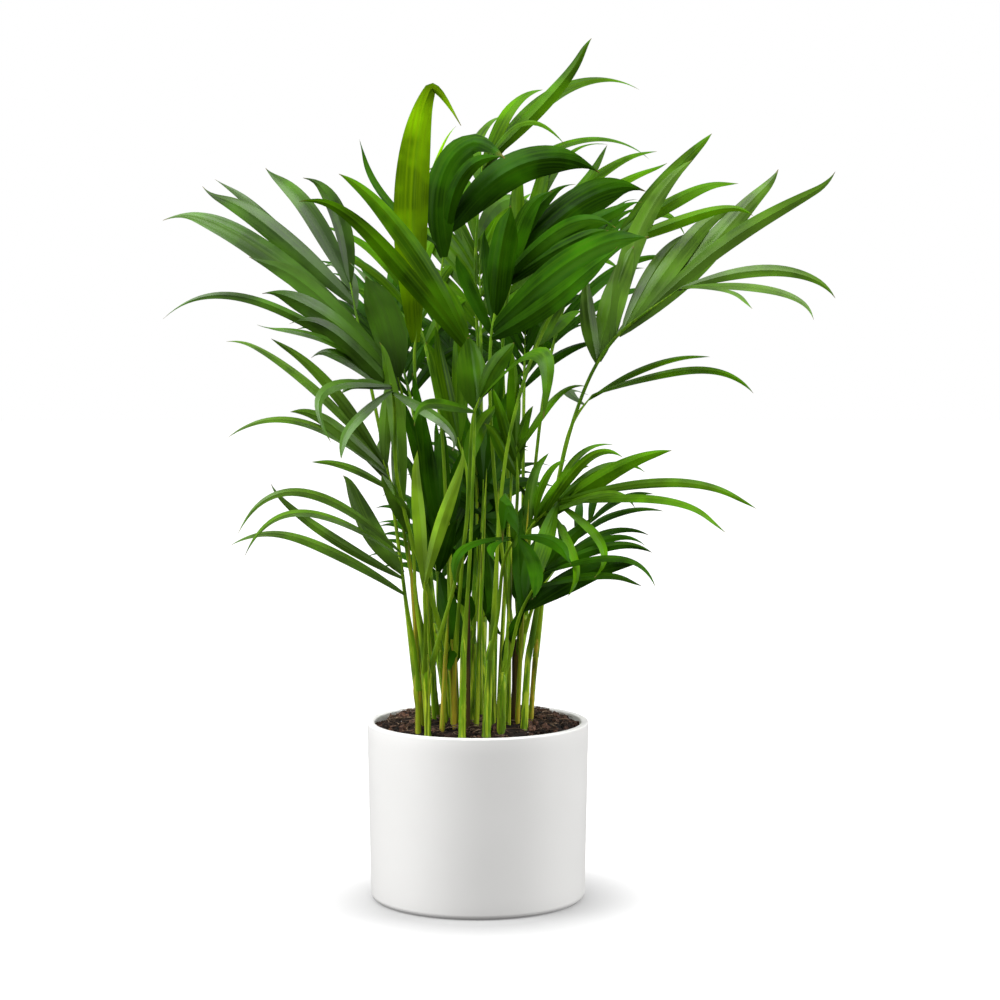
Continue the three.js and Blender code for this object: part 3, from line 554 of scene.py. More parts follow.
# Thin stalks between the stems, by bark: foot x and y, top across, up and depth, and radius
STALKS = {
    "green": (
        (-45, -40, -58, 300, -50, 1.7), (-38, -30, -56, 384, -26, 1.7), (-24, -20, -43, 352, -14, 1.8),
        (-17, -46, -29, 378, -40, 1.7), (-1, -60, 8, 384, -50, 1.9), (3, -10, -2, 420, -6, 1.9),
        (14, -58, 19, 372, -46, 2.0), (18, -26, 34, 424, -12, 1.7), (27, -52, 30, 380, -44, 2.0),
        (-13, 14, -18, 400, 22, 1.8), (10, 24, 16, 410, 30, 1.8),
    ),
    "straw": (
        (-49, -48, -63, 326, -52, 1.9), (-31, -66, -26, 262, -60, 2.0), (35, -48, 46, 356, -40, 1.8),
    ),
    "brown": (
        (-9, -66, -8, 276, -62, 2.2),
    ),
}


# The point in space that the eye sees at a place on the board and at a depth behind the pot's axis
def seen_at(across, up, depth):
    ray = FORWARD * BOARD_DISTANCE + RIGHT * (across - BOARD_ACROSS) + BOARD_UPWARD * (up - BOARD_UP)
    return EYE + ray * ((depth - EYE.y) / ray.y)


# Where on the board the eye sees a point, with its depth
def board_place(point):
    ray = point - EYE
    scale = BOARD_DISTANCE / ray.dot(FORWARD)
    return ray.dot(RIGHT) * scale + BOARD_ACROSS, ray.dot(BOARD_UPWARD) * scale + BOARD_UP, point.y


def blend(low, high, share):
    return low + (high - low) * share


def smooth_step(value, low, high):
    share = min(max((value - low) / (high - low), 0), 1)
    return share * share * (3 - 2 * share)


# A quadratic curve's point
def bow_point(start, middle, end, along):
    return start * (1 - along) ** 2 + middle * (2 * along * (1 - along)) + end * along**2


# The curve of a stem or stalk that bows a little on its way from its foot to its top
def stem_curve(foot, top):
    middle = (foot + top) * 0.5
    middle.x += STEM_BOW * (foot.x - top.x)
    return foot, middle, top


def stem_top(stem):
    return seen_at(*STEMS[stem][2:5])


def stem_point(stem, along):
    foot = Vector((*STEMS[stem][:2], SOIL_TOP + GAP))
    return bow_point(*stem_curve(foot, stem_top(stem)), along)


def stem_radius(stem, along):
    foot_radius, top_radius = STEMS[stem][5:]
    waist = blend(foot_radius, foot_radius * STEM_WAIST, along)
    return blend(waist, top_radius, smooth_step(along, STEM_SWELLS_FROM, 1))


# The feet of a stem's fronds: evenly round its top, in the order of the sides they lean to
def place_feet(stem, growing):
    middle = sum((frond["way"][0] for frond in growing), Vector()) / len(growing)

    def angle_of(frond):
        knee = frond["way"][0]
        return math.atan2(knee.y - middle.y, knee.x - middle.x)

    ordered = sorted(growing, key=angle_of)
    reach = STEMS[stem][6] - FOOT_RADIUS if len(ordered) > 1 else 0
    for place, frond in enumerate(ordered):
        angle = angle_of(ordered[0]) + 2 * math.pi * place / len(ordered)
        frond["foot"] = stem_top(stem) + Vector((reach * math.cos(angle), reach * math.sin(angle), GAP))


# A smooth curve through four points, each stretch paced by the root of its length
def through_points(points, along):
    place = min(max(along, 0), 1) * 3
    stretch = min(int(place), 2)
    share = place - stretch
    before = points[stretch - 1] if stretch > 0 else points[0] * 2 - points[1]
    after = points[stretch + 2] if stretch < 2 else points[3] * 2 - points[2]
    start = points[stretch]
    end = points[stretch + 1]
    first = math.sqrt((start - before).length)
    second = math.sqrt((end - start).length)
    third = math.sqrt((after - end).length)
    start_slope = (start - before) / first - (end - before) / (first + second) + (end - start) / second
    end_slope = (end - start) / second - (after - start) / (second + third) + (after - end) / third
    start_slope = start_slope * second
    end_slope = end_slope * second
    square = (end - start) * 3 - start_slope * 2 - end_slope
    cube = (start - end) * 2 + start_slope + end_slope
    return start + start_slope * share + square * share**2 + cube * share**3


def tangent_at(points, along, step):
    ahead = through_points(points, min(along + step, 1))
    behind = through_points(points, max(along - step, 0))
    return (ahead - behind).normalized()


def rib_points(frond, lean):
    return [frond["foot"]] + [point + AWAY * lean for point in frond["way"]]


# How far along its whole rib a leaflet stands, from its share of the way from neck to end
def along_rib(share):
    return (2 + share) / 3


def rib_radius(along):
    if along < 2 / 3:
        return blend(FOOT_RADIUS, NECK_RADIUS, along * 1.5)
    return blend(NECK_RADIUS, END_RADIUS, along * 3 - 2)


# A near frond's leaflet, arched on the board towards its upper side
def near_leaflet_curve(points, leaflet, lean):
    share, across, up, depth, _, arch = leaflet
    base = through_points(points, along_rib(share))
    base_across, base_up, base_depth = board_place(base)
    run = across - base_across
    rise = up - base_up
    side = (math.copysign(1, run) if run else 1) / math.hypot(run, rise)
    middle = seen_at(
        base_across + ARCH_MIDDLE * run - 2 * arch * rise * side,
        base_up + ARCH_MIDDLE * rise + 2 * arch * run * side,
        base_depth + ARCH_MIDDLE * (depth - base_depth) + LEAN_AT_MIDDLE * lean,
    )
    return base, middle, seen_at(across, up, depth + lean)


# The way a near frond's leaflets face: towards the viewer, turned up by the frond's angle,
# and each swung to the left or the right by an amount of its own
def near_face(frond, place):
    turn = math.radians(frond["turn"])
    swing = math.radians(LEAF_SWING * math.cos(SWING_START + SWING_STEP * place))
    ahead = math.cos(turn)
    return Vector((math.sin(swing) * ahead, -math.cos(swing) * ahead, math.sin(turn)))


# A far frond's leaflet: pair after pair, shorter to the end and drooping at the tip
def far_leaflet_curve(frond, pair, hand):
    share = (pair + FAR_PAIR_START) / frond["pairs"]
    base = through_points(frond["rib"], along_rib(share))
    tangent = tangent_at(frond["rib"], along_rib(share), 0.002)
    side = tangent.cross(UP).normalized() * hand
    sway = FAR_SPREAD_SWAY * math.sin(7 * pair + hand)
    spread = math.radians(blend(FAR_SPREAD[0], FAR_SPREAD[1], share) + sway)
    length_sway = 1 + FAR_LENGTH_SWAY * math.sin(5 * pair + 2 * hand)
    length = frond["length"] * length_sway * (1 - FAR_SHORTENING * abs(share - FAR_LONGEST_AT))
    length *= 1 - FAR_END_SHORTENING * max(0, pair - frond["pairs"] + 1)
    tip = base + tangent * (math.cos(spread) * length) + side * (math.sin(spread) * length)
    tip.z -= FAR_DROOP_SHARE * length
    middle = (base + tip) * 0.5
    middle.z += 2 * FAR_ARCH_SHARE * length
    return base, middle, tip


def far_face(frond):
    turn = math.radians(FAR_TURN)
    away = frond["way"][2] - frond["way"][0]
    away.z = 0
    return away.normalized() * -math.cos(turn) + UP * math.sin(turn)


# A far frond with its knee, neck and end in space
def far_frond(name, stem, colour, direction, neck_reach, neck_up, end_reach, end_up, length, pairs):
    top = stem_top(stem)
    turn = math.radians(direction)
    heading = Vector((math.cos(turn), math.sin(turn), 0))

    def reached(reach, height):
        point = top + heading * reach
        point.z = height
        return point

    knee = reached(neck_reach * FAR_KNEE_REACH, blend(top.z, neck_up, FAR_KNEE_UP))
    way = [knee, reached(neck_reach, neck_up), reached(end_reach, end_up)]
    return dict(name=name, stem=stem, colour=colour, length=length, pairs=pairs, way=way)


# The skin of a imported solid, to be asked how near a point lies to it
def skin_of(node):
    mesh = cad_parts[node].data
    points = [vertex.co / MM for vertex in mesh.vertices]
    faces = [tuple(polygon.vertices) for polygon in mesh.polygons]
    return BVHTree.FromPolygons(points, faces)


# Of some leans, the one at which all of a curve's points lie nearest to a skin, and how near
def best_lean(leans, points_at, skin):
    def miss(lean):
        return max(skin.find_nearest(point)[3] for point in points_at(lean))

    lean = min(leans, key=miss)
    return lean, miss(lean)


# The rib at the lean at which it lies in its solid
def matched_rib(frond, skin):
    def points_at(lean):
        points = rib_points(frond, lean)
        return [through_points(points, along) for along in RIB_CHECKED]

    return rib_points(frond, best_lean(RIB_LEANS, points_at, skin)[0])


# A leaflet's curve at the lean at which it lies in its solid, or nothing where there is none
def matched_curve(points, leaflet, skin):
    def points_at(lean):
        curve = near_leaflet_curve(points, leaflet, lean)
        return [bow_point(*curve, along) for along in LEAF_CHECKED]

    lean, miss = best_lean(LEAF_LEANS, points_at, skin)
    return near_leaflet_curve(points, leaflet, lean) if miss < LEAF_MATCH else None


# What a frond's table gives to the leaflet at a place, if anything
def own_value(frond, kind, place):
    return frond.get(kind, {}).get(place)


# A near frond's leaflets, each as its curve, the tip of its fold, its width, its face and its shade
def near_leaflets(frond, skin):
    for place, leaflet in enumerate(frond["leaflets"]):
        curve = matched_curve(frond["rib"], leaflet, skin)
        if curve is None:
            continue
        arch = own_value(frond, "arches", place)
        if arch is not None:
            curve = near_leaflet_curve(frond["rib"], (*leaflet[:5], arch), 0)
        width = leaflet[4] * SEEN_TO_BLADE * (own_value(frond, "widths", place) or FINER_WIDTH)
        fold = own_value(frond, "folds", place)
        fold_tip = seen_at(*fold) if fold else None
        yield curve, fold_tip, width, near_face(frond, place), own_value(frond, "shades", place)
    for place, leaflet in enumerate(frond.get("finer", ())):
        curve = near_leaflet_curve(frond["rib"], leaflet, 0)
        yield curve, None, leaflet[4], near_face(frond, place + 1), None


# A far frond's leaflets, told in the same way
def far_leaflets(frond):
    width = (FAR_WIDTH + FAR_WIDTH_SHARE * frond["length"]) * FAR_FINER_WIDTH
    finer = 1 if frond["name"] in FAR_OPEN else FAR_FINER
    for step in range(frond["pairs"] * finer):
        for hand in (-1, 1):
            yield far_leaflet_curve(frond, step / finer, hand), None, width, far_face(frond), None


def select_only(piece):
    bpy.ops.object.select_all(action="DESELECT")
    bpy.context.view_layer.objects.active = piece
    piece.select_set(True)


def crease_smooth(piece, angle):
    select_only(piece)
    bpy.ops.object.shade_smooth_by_angle(angle=math.radians(angle))


# Hands a piece to the plant's body, in place of a imported solid if it has one
def hand_over(piece, slot, node=None):
    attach(piece, "root")
    if node:
        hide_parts(node)


# The four corners of each face of a grid
def corners_of(ids):
    return ids[:-1, :-1], ids[:-1, 1:], ids[1:, 1:], ids[1:, :-1]


# Many small closed blades or tubes gathered for one mesh
class Sheaf:
    def __init__(self):
        self.points = []
        self.faces = []
        self.maps = []
        self.shades = []
        self.unders = []
        self.count = 0

    # Adds a grid of points with its map places, and gives their numbers
    def add_points(self, grid, maps, shade):
        rows, columns = grid.shape[:2]
        ids = self.count + np.arange(rows * columns).reshape(rows, columns)
        self.points.append(grid.reshape(-1, 3))
        self.maps.append(maps.reshape(-1, 2))
        self.shades.append(np.full(rows * columns, shade))
        self.count += rows * columns
        return ids

    def add_faces(self, corners, is_under=False):
        faces = np.stack([corner.reshape(-1) for corner in corners], axis=1)
        self.faces.append(faces)
        self.unders.append(np.full(len(faces), float(is_under)))

    # Adds a grid of points, closed by its own back at a thickness
    def add_blade(self, front, back, maps, shade):
        ids = self.add_points(front, maps, shade)
        back_ids = ids.copy()
        back_ids[1:-1, 1:-1] = self.add_points(back[1:-1, 1:-1], maps[1:-1, 1:-1], shade)
        self.add_faces(corners_of(ids))
        first, *others = corners_of(back_ids)
        self.add_faces([first, *others[::-1]], True)

    # Adds a tube of rings, each end closed by triangles to its middle
    def add_tube(self, rings, map_rows, shade):
        rows, columns = rings.shape[:2]
        across = np.tile(np.linspace(0, 1, columns, endpoint=False), (rows, 1))
        along = np.tile(np.asarray(map_rows)[:, None], (1, columns))
        ids = self.add_points(rings, np.stack([across, along], axis=2), shade)
        ids = np.concatenate([ids, ids[:, :1]], axis=1)
        self.add_faces(corners_of(ids))
        for row, ring in ((0, ids[0][::-1]), (-1, ids[-1])):
            middle = rings[row].mean(axis=0)[None, None]
            hub = self.add_points(middle, np.array([0.5, map_rows[row]]), shade)
            self.add_faces([ring[:-1], ring[1:], np.full(columns, hub[0, 0])])

    def build(self, name, material, crease):
        mesh = bpy.data.meshes.new(name)
        points = np.concatenate(self.points) * MM
        faces = [tuple(face) for block in self.faces for face in block.tolist()]
        mesh.from_pydata(points.tolist(), [], faces)
        corners = np.empty(len(mesh.loops), np.int32)
        mesh.loops.foreach_get("vertex_index", corners)
        layer = mesh.uv_layers.new(name="Leaf")
        layer.data.foreach_set("uv", np.concatenate(self.maps)[corners].astype(np.float32).reshape(-1))
        for attribute, domain, values in (("shade", "POINT", self.shades), ("under", "FACE", self.unders)):
            layer = mesh.attributes.new(attribute, "FLOAT", domain)
            layer.data.foreach_set("value", np.concatenate(values).astype(np.float32))
        mesh.update()
        piece = bpy.data.objects.new(name, mesh)
        bpy.context.scene.collection.objects.link(piece)
        mesh.materials.append(material)
        crease_smooth(piece, crease)
        return piece


def unit(vectors):
    return vectors / np.linalg.norm(vectors, axis=-1, keepdims=True)


# Places on both sides of a middle
def mirrored(half):
    half = np.array(half)
    return np.concatenate([-half[::-1], [0], half])


# Places across a leaflet, from edge to edge, close together where the midrib stands up
NARROW_COLUMNS = mirrored((0.06, 0.3, 0.62, 1))
BROAD_COLUMNS = mirrored((0.03, 0.12, 0.28, 0.46, 0.64, 0.82, 1))


# How wide a leaflet is along its length, as a share of its full width
def eased_outline(along, shares):
    outline = np.interp(along, np.linspace(0, 1, len(shares)), shares)
    for _ in range(2):
        outline[1:-1] = 0.25 * outline[:-2] + 0.5 * outline[1:-1] + 0.25 * outline[2:]
    outline[0] = ROOT_SHARE
    outline[-1] = TIP_SHARE
    return outline


# The middle line of a leaflet: its curve, swayed to both sides, with a tip that turns aside. A
# folded leaflet goes on from its curve's end, over the fold and down to its tip
def leaflet_line(curve, fold_tip, sideways, along, curl_share, chance):
    start, middle, end = curve
    if fold_tip is None:
        line = bow_point(start, middle, end, along)
    else:
        tip = np.array(fold_tip)
        top = end + unit(end - middle) * np.linalg.norm(tip - end) * FOLD_ROUNDING
        rising = np.minimum(along / FOLD_FROM, 1)
        falling = np.maximum((along - FOLD_FROM) / (1 - FOLD_FROM), 0)
        over_fold = bow_point(end, top, tip, falling)
        line = np.where(along < FOLD_FROM, bow_point(start, middle, end, rising), over_fold)
    length = np.linalg.norm(end - start)
    sway = length * chance.uniform(-SWAY_SHARE, SWAY_SHARE) * np.sin(2 * np.pi * along)
    curl_end = length * chance.uniform(-curl_share, curl_share)
    curl = curl_end * np.maximum((along - CURL_FROM) / (1 - CURL_FROM), 0) ** 2
    return line + sideways * (sway + curl)


# The ways along and across a leaflet, carried along its middle line without a twist from the
# middle outwards
def ways_of(line, face):
    tangent = unit(np.gradient(line, axis=0))
    half_way = len(line) // 2
    across = np.zeros_like(line)
    across[half_way] = unit(np.cross(tangent[half_way], face))
    for step, rows in ((1, range(half_way + 1, len(line))), (-1, range(half_way - 1, -1, -1))):
        for row in rows:
            last = across[row - step]
            across[row] = unit(last - tangent[row] * (last @ tangent[row]))
    return tangent, across


# A leaflet: a closed blade with a raised midrib and pleats beside it, which faces the given way
# at its middle and turns a little towards its tip
def add_leaflet(sheaf, curve, fold_tip, width, face, shade, is_blunt, chance):
    curve = [np.array(point) for point in curve]
    length = np.linalg.norm(curve[2] - curve[0])
    rows = int(min(max(length / LEAF_ROW_LENGTH, LEAF_ROWS[0]), LEAF_ROWS[1]))
    along = np.linspace(0, 1, rows)[:, None]
    sideways = unit(np.cross(unit(curve[2] - curve[0]), np.array(face)))
    line = leaflet_line(curve, fold_tip, sideways, along, BLUNT_CURL if is_blunt else POINTED_CURL, chance)
    tangent, side = ways_of(line, np.array(face))
    normal = np.cross(side, tangent)
    twist = np.radians(chance.uniform(-TIP_TURN, TIP_TURN)) * along**2
    turned_normal = normal * np.cos(twist) + side * np.sin(twist)
    turned_side = side * np.cos(twist) - normal * np.sin(twist)
    is_broad = width > BROAD_LEAF
    columns = (BROAD_COLUMNS if is_broad else NARROW_COLUMNS)[None, :]
    kind = ("blunt" if is_blunt else "pointed", "straight" if fold_tip is None else "folded")
    half = 0.5 * width * eased_outline(along[:, 0], OUTLINES[kind])[:, None]
    offset = np.abs(columns)
    fold = chance.uniform(*LEAF_FOLD) * (0.5 - offset)
    pleats = (BROAD_PLEATS if is_broad else NARROW_PLEATS) * np.cos(offset * chance.uniform(*PLEAT_TURNS))
    wave = LEAF_WAVE * np.sin(along * chance.uniform(*WAVE_TURNS) + chance.uniform(0, 6)) * columns**2
    droop = -chance.uniform(*LEAF_DROOP) * offset**3
    height = half * (fold + pleats + wave + droop)
    front = line[:, None, :] + turned_side[:, None, :] * (half * columns)[:, :, None]
    front = front + turned_normal[:, None, :] * height[:, :, None]
    back = front - turned_normal[:, None, :] * LEAF_THICKNESS
    map_across = 0.5 + half * columns / LEAF_MAP_WIDTH
    maps = np.stack([map_across, np.tile(along, columns.shape)], axis=2)
    own_shade = chance.uniform(0, 1)
    sheaf.add_blade(front, back, maps, own_shade if shade is None else shade)


# A ring of points round a centre, from its front to its side, with a channel along its front
def ring_round(centre, front, side, sides, radius, channel=0):
    angles = 2 * np.pi * np.arange(sides) / sides
    ahead = np.cos(angles) * (1 - channel * np.maximum(np.cos(angles), 0) ** 3)
    return np.array(centre) + radius * (np.outer(ahead, front) + np.outer(np.sin(angles), side))


# A rib with its petiole, channelled on the side that faces outwards
def add_rib(sheaf, points, shade):
    shares = np.linspace(0, 1, RIB_STEPS)
    rings = []
    for along in shares:
        tangent = tangent_at(points, along, 0.01)
        front = (tangent * tangent.dot(AWAY) - AWAY).normalized()
        flare = 1 + RIB_FLARE * (1 - smooth_step(along, 0, FLARED_SHARE))
        thinning = 1 - RIB_THINNING * smooth_step(along, THINS_FROM, 1)
        radius = rib_radius(along) * flare * thinning * RIB_SHARE
        centre = through_points(points, along)
        rings.append(ring_round(centre, front, tangent.cross(front), RIB_SIDES, radius, RIB_CHANNEL))
    sheaf.add_tube(np.array(rings), shares, shade)


def level(height, radius):
    return UP * height, radius


# Draws a filled ring out from level to level, and stays in edit mode; each level is its middle and
# its radius
def draw_out(name, levels, sides):
    middle, radius = levels[0]
    bpy.ops.mesh.primitive_circle_add(
        vertices=sides, radius=radius * MM, fill_type="NGON", location=middle * MM
    )
    piece = bpy.context.active_object
    piece.name = name
    select_only(piece)
    bpy.ops.object.transform_apply(location=True, rotation=True, scale=True)
    bpy.ops.object.mode_set(mode="EDIT")
    bpy.ops.mesh.select_mode(type="FACE")
    bpy.ops.mesh.select_all(action="SELECT")
    for (middle, radius), (next_middle, next_radius) in zip(levels, levels[1:]):
        draw_ring((next_middle - middle) * MM, next_radius / radius, next_middle * MM)
    return piece


def draw_ring(step, scale, middle):
    bpy.ops.mesh.extrude_region_move(TRANSFORM_OT_translate={"value": step})
    bpy.ops.transform.resize(value=(scale, scale, 1), center_override=middle)


# Ends the drawing out, with the faces turned outwards
def end_drawing():
    bpy.ops.mesh.select_all(action="SELECT")
    bpy.ops.mesh.normals_make_consistent(inside=False)
    bpy.ops.object.mode_set(mode="OBJECT")


# Gives a drawn piece its finish and its creases, and hands it over
def finish_drawn(piece, material, crease, slot, node):
    piece.data.materials.append(material)
    crease_smooth(piece, crease)
    hand_over(piece, slot, node)


def arc_levels(middle_radius, middle_height, radius, start, end, steps):
    levels = []
    for step in range(steps + 1):
        angle = math.radians(blend(start, end, step / steps))
        height = middle_height + radius * math.sin(angle)
        levels.append(level(height, middle_radius + radius * math.cos(angle)))
    return levels


def make_pot():
    inner = POT_RADIUS - POT_WALL
    shoulder = POT_HEIGHT - RIM_ROUND
    levels = [level(*place) for place in POT_UNDERSIDE]
    levels += arc_levels(POT_LOW_RADIUS - POT_EDGE, POT_EDGE, POT_EDGE, -90, 0, POT_EDGE_STEPS)
    for step in range(1, POT_STEPS):
        share = step / POT_STEPS
        levels.append(level(blend(POT_EDGE, shoulder, share), blend(POT_LOW_RADIUS, POT_RADIUS, share)))
    levels += arc_levels(POT_RADIUS - RIM_ROUND, shoulder, RIM_ROUND, 0, 90, RIM_STEPS)
    levels += arc_levels(inner + RIM_ROUND, shoulder, RIM_ROUND, 90, 180, RIM_STEPS)
    levels += [level(POT_MIDDLE[0], inner - POT_MIDDLE[1]), level(POT_FLOOR, POT_LOW_RADIUS - POT_WALL)]
    piece = draw_out("pot_shell", levels, POT_SIDES)
    end_drawing()
    finish_drawn(piece, pot_finish(), POT_CREASE, "pot", "pot")


def add_relief(piece, name, scale, depth, strength, group):
    texture = bpy.data.textures.new(name, "CLOUDS")
    texture.noise_scale = scale
    texture.noise_depth = depth
    modifier = piece.modifiers.new(name, "DISPLACE")
    modifier.texture = texture
    modifier.strength = strength
    modifier.mid_level = 0.5
    modifier.direction = "Z"
    modifier.texture_coords = "LOCAL"
    modifier.vertex_group = group
    bpy.ops.object.modifier_apply(modifier=modifier.name)


# The pot's inner wall at a height, with a gap for the soil
def soil_wall(height):
    share = (height - POT_FLOOR) / (POT_HEIGHT - RIM_ROUND - POT_FLOOR)
    return blend(POT_LOW_RADIUS - POT_WALL, POT_RADIUS - POT_WALL, share) - GAP


# The soil's surface at a distance from the pot's axis: heaped a little round the stems
def soil_height(distance):
    rise = smooth_step(soil_wall(SOIL_EDGE_TOP) - distance, 0, SOIL_SLOPE)
    return blend(SOIL_EDGE_TOP, SOIL_TOP, smooth_step(rise, 0, 0.5)) + SOIL_HEAP * rise


def make_soil():
    edge = soil_wall(SOIL_EDGE_TOP)
    foot = POT_FLOOR + GAP
    piece = draw_out("soil_bed", [level(foot, soil_wall(foot)), level(SOIL_EDGE_TOP, edge)], SOIL_SIDES)
    for ring in range(SOIL_RINGS, 1, -1):
        draw_ring((0, 0, 0), (ring - 1) / ring, UP * SOIL_EDGE_TOP * MM)
    end_drawing()
    group = piece.vertex_groups.new(name="surface")
    for vertex in piece.data.vertices:
        distance = math.hypot(vertex.co.x, vertex.co.y) / MM
        if vertex.co.z > (SOIL_EDGE_TOP - 1) * MM:
            vertex.co.z = soil_height(distance) * MM
            share = smooth_step(edge - distance, -SOIL_SMOOTH_EDGE, SOIL_SMOOTH_EDGE)
            group.add([vertex.index], share, "REPLACE")
    for relief in SOIL_RELIEF:
        add_relief(piece, *relief, "surface")
    finish_drawn(piece, soil_finish(), SOIL_CREASE, "soil", "soil")


def scattered_place(chance, reach, lift):
    distance = reach * math.sqrt(chance.uniform(0, 1))
    angle = chance.uniform(0, 2 * math.pi)
    height = soil_height(distance)
    return Vector((distance * math.cos(angle), distance * math.sin(angle), height)) + UP * lift


# A rough lump: a low ball with each corner pushed in or out
def add_lump(sheaf, middle, size, chance):
    stretch = chance.uniform(*LUMP_STRETCH, 3)
    turn = chance.uniform(0, 2 * math.pi)
    reach = size * chance.uniform(*LUMP_REACH, (LUMP_ROWS, LUMP_COLUMNS))
    lift = (math.pi * (np.arange(LUMP_ROWS) + 0.6) / (LUMP_ROWS + 0.2))[:, None]
    angle = 2 * math.pi * np.arange(LUMP_COLUMNS) / LUMP_COLUMNS
    ahead = stretch[0] * reach * np.sin(lift) * np.cos(angle)
    aside = stretch[1] * reach * np.sin(lift) * np.sin(angle)
    height = -LUMP_FLATTENING * stretch[2] * reach * np.cos(lift)
    turned_ahead = ahead * math.cos(turn) - aside * math.sin(turn)
    turned_aside = ahead * math.sin(turn) + aside * math.cos(turn)
    rings = np.stack([turned_ahead, turned_aside, height], axis=2) + np.array(middle)
    sheaf.add_tube(rings, np.linspace(0, 1, LUMP_ROWS), chance.uniform(0, 1))


# A husk thread that lies over the soil in a loose bow
def add_fibre(sheaf, middle, length, radius, chance):
    heading = chance.uniform(0, 2 * math.pi)
    bow = chance.uniform(-FIBRE_BOW, FIBRE_BOW)
    lift = chance.uniform(*FIBRE_RISE)
    way = Vector((math.cos(heading), math.sin(heading), 0))
    side = Vector((-math.sin(heading), math.cos(heading), 0))
    shares = np.linspace(0, 1, FIBRE_STEPS)
    rings = []
    for share in shares - 0.5:
        rise = length * (0.25 - share * share) * 2
        centre = middle + way * (share * length) + side * (bow * rise) + UP * (lift * rise + 0.4)
        rings.append(ring_round(centre, side, UP, FIBRE_SIDES, radius * (1 - 1.2 * abs(share))))
    sheaf.add_tube(np.array(rings)[:, ::-1], shares, chance.uniform(0, 1))


def dress_soil():
    chance = np.random.default_rng(SOIL_SEED)
    edge = soil_wall(SOIL_EDGE_TOP)
    sheaves = {name: Sheaf() for name in BITS}
    for name, count, lift, sizes in LUMPS:
        for _ in range(count):
            place = scattered_place(chance, edge - LUMP_MARGIN, lift)
            add_lump(sheaves[name], place, chance.uniform(*sizes), chance)
    for _ in range(FIBRES):
        place = scattered_place(chance, edge - FIBRE_MARGIN, FIBRE_LIFT)
        length = chance.uniform(*FIBRE_LENGTHS)
        add_fibre(sheaves["soil_fibres"], place, length, chance.uniform(*FIBRE_RADII), chance)
    for name, sheaf in sheaves.items():
        hand_over(sheaf.build(name, bits_finish(name, *BITS[name]), BIT_CREASE), "soil")


# A seeded chance of its own for each name
def chance_of(name):
    return np.random.default_rng(sum(map(ord, name)))


# A stem drawn out ring by ring, with leaf scars low down and a sheath that hugs the petioles
def make_stem(stem):
    name = "stem_" + stem
    chance = chance_of(name)
    foot_radius, top_radius = STEMS[stem][5:]
    top = stem_top(stem)
    foot = stem_point(stem, 0)
    steps = int((top.z - foot.z) / STEM_RING_STEP)
    scar_step = chance.uniform(*SCAR_STEPS)
    lean = stem_point(stem, 1) - stem_point(stem, SHEATH_LEANS_FROM)
    lean = lean / lean.z
    levels = [(foot + UP * lift, foot_radius * share) for lift, share in STEM_FOOT]
    for step in range(1, steps + 1):
        along = step / steps
        middle = stem_point(stem, along)
        is_scar = (middle.z - foot.z) % scar_step < STEM_RING_STEP and along < SCARRED_SHARE
        levels.append((middle, stem_radius(stem, along) * (SCAR_SWELLING if is_scar else 1)))
    for step in range(1, SHEATH_RINGS + 1):
        share = step / SHEATH_RINGS
        radius = top_radius * (1 - SHEATH_TAPER * share - SHEATH_CLOSING * share**4)
        levels.append((top + lean * (SHEATH_PAST_TOP * share), radius))
    piece = draw_out(name + "_cane", levels, STEM_SIDES)
    end_drawing()
    finish_drawn(piece, FINISHES[STEM_BARKS.get(stem, "green")], STEM_CREASE, "stem", name)


# A thin stalk that stands in the soil among the stems
def add_stalk(sheaf, foot_x, foot_y, across, up, depth, radius):
    curve = stem_curve(Vector((foot_x, foot_y, SOIL_TOP - STALK_DEPTH)), seen_at(across, up, depth))
    shares = np.linspace(0, 1, STALK_STEPS)
    rings = []
    for along in shares:
        reach = max(radius * (STALK_FOOT - STALK_TAPER * along) * (1 - along**6), STALK_TIP)
        rings.append(ring_round(bow_point(*curve, along), RIGHT, AWAY, STALK_SIDES, reach))
    sheaf.add_tube(np.array(rings), shares, 0.5)


def make_stalks():
    for bark, stalks in STALKS.items():
        sheaf = Sheaf()
        for stalk in stalks:
            add_stalk(sheaf, *stalk)
        hand_over(sheaf.build("stalks_" + bark, FINISHES[bark], STEM_CREASE), "stem")


def make_frond(frond):
    name = "frond_" + frond["name"]
    chance = chance_of(name)
    skin = skin_of(name)
    frond["rib"] = matched_rib(frond, skin)
    leaflets = near_leaflets(frond, skin) if "leaflets" in frond else far_leaflets(frond)
    leaves = Sheaf()
    for leaflet in leaflets:
        add_leaflet(leaves, *leaflet, "blunt" in frond, chance)
    piece = leaves.build(name + "_leaflets", FINISHES[frond["colour"]], LEAF_CREASE)
    hand_over(piece, LEAF_TINTS[frond["colour"]][0], name)
    rib = Sheaf()
    add_rib(rib, frond["rib"], chance.uniform(0, 1))
    hand_over(rib.build(name + "_rib", FINISHES["rib"], STEM_CREASE), "stem")


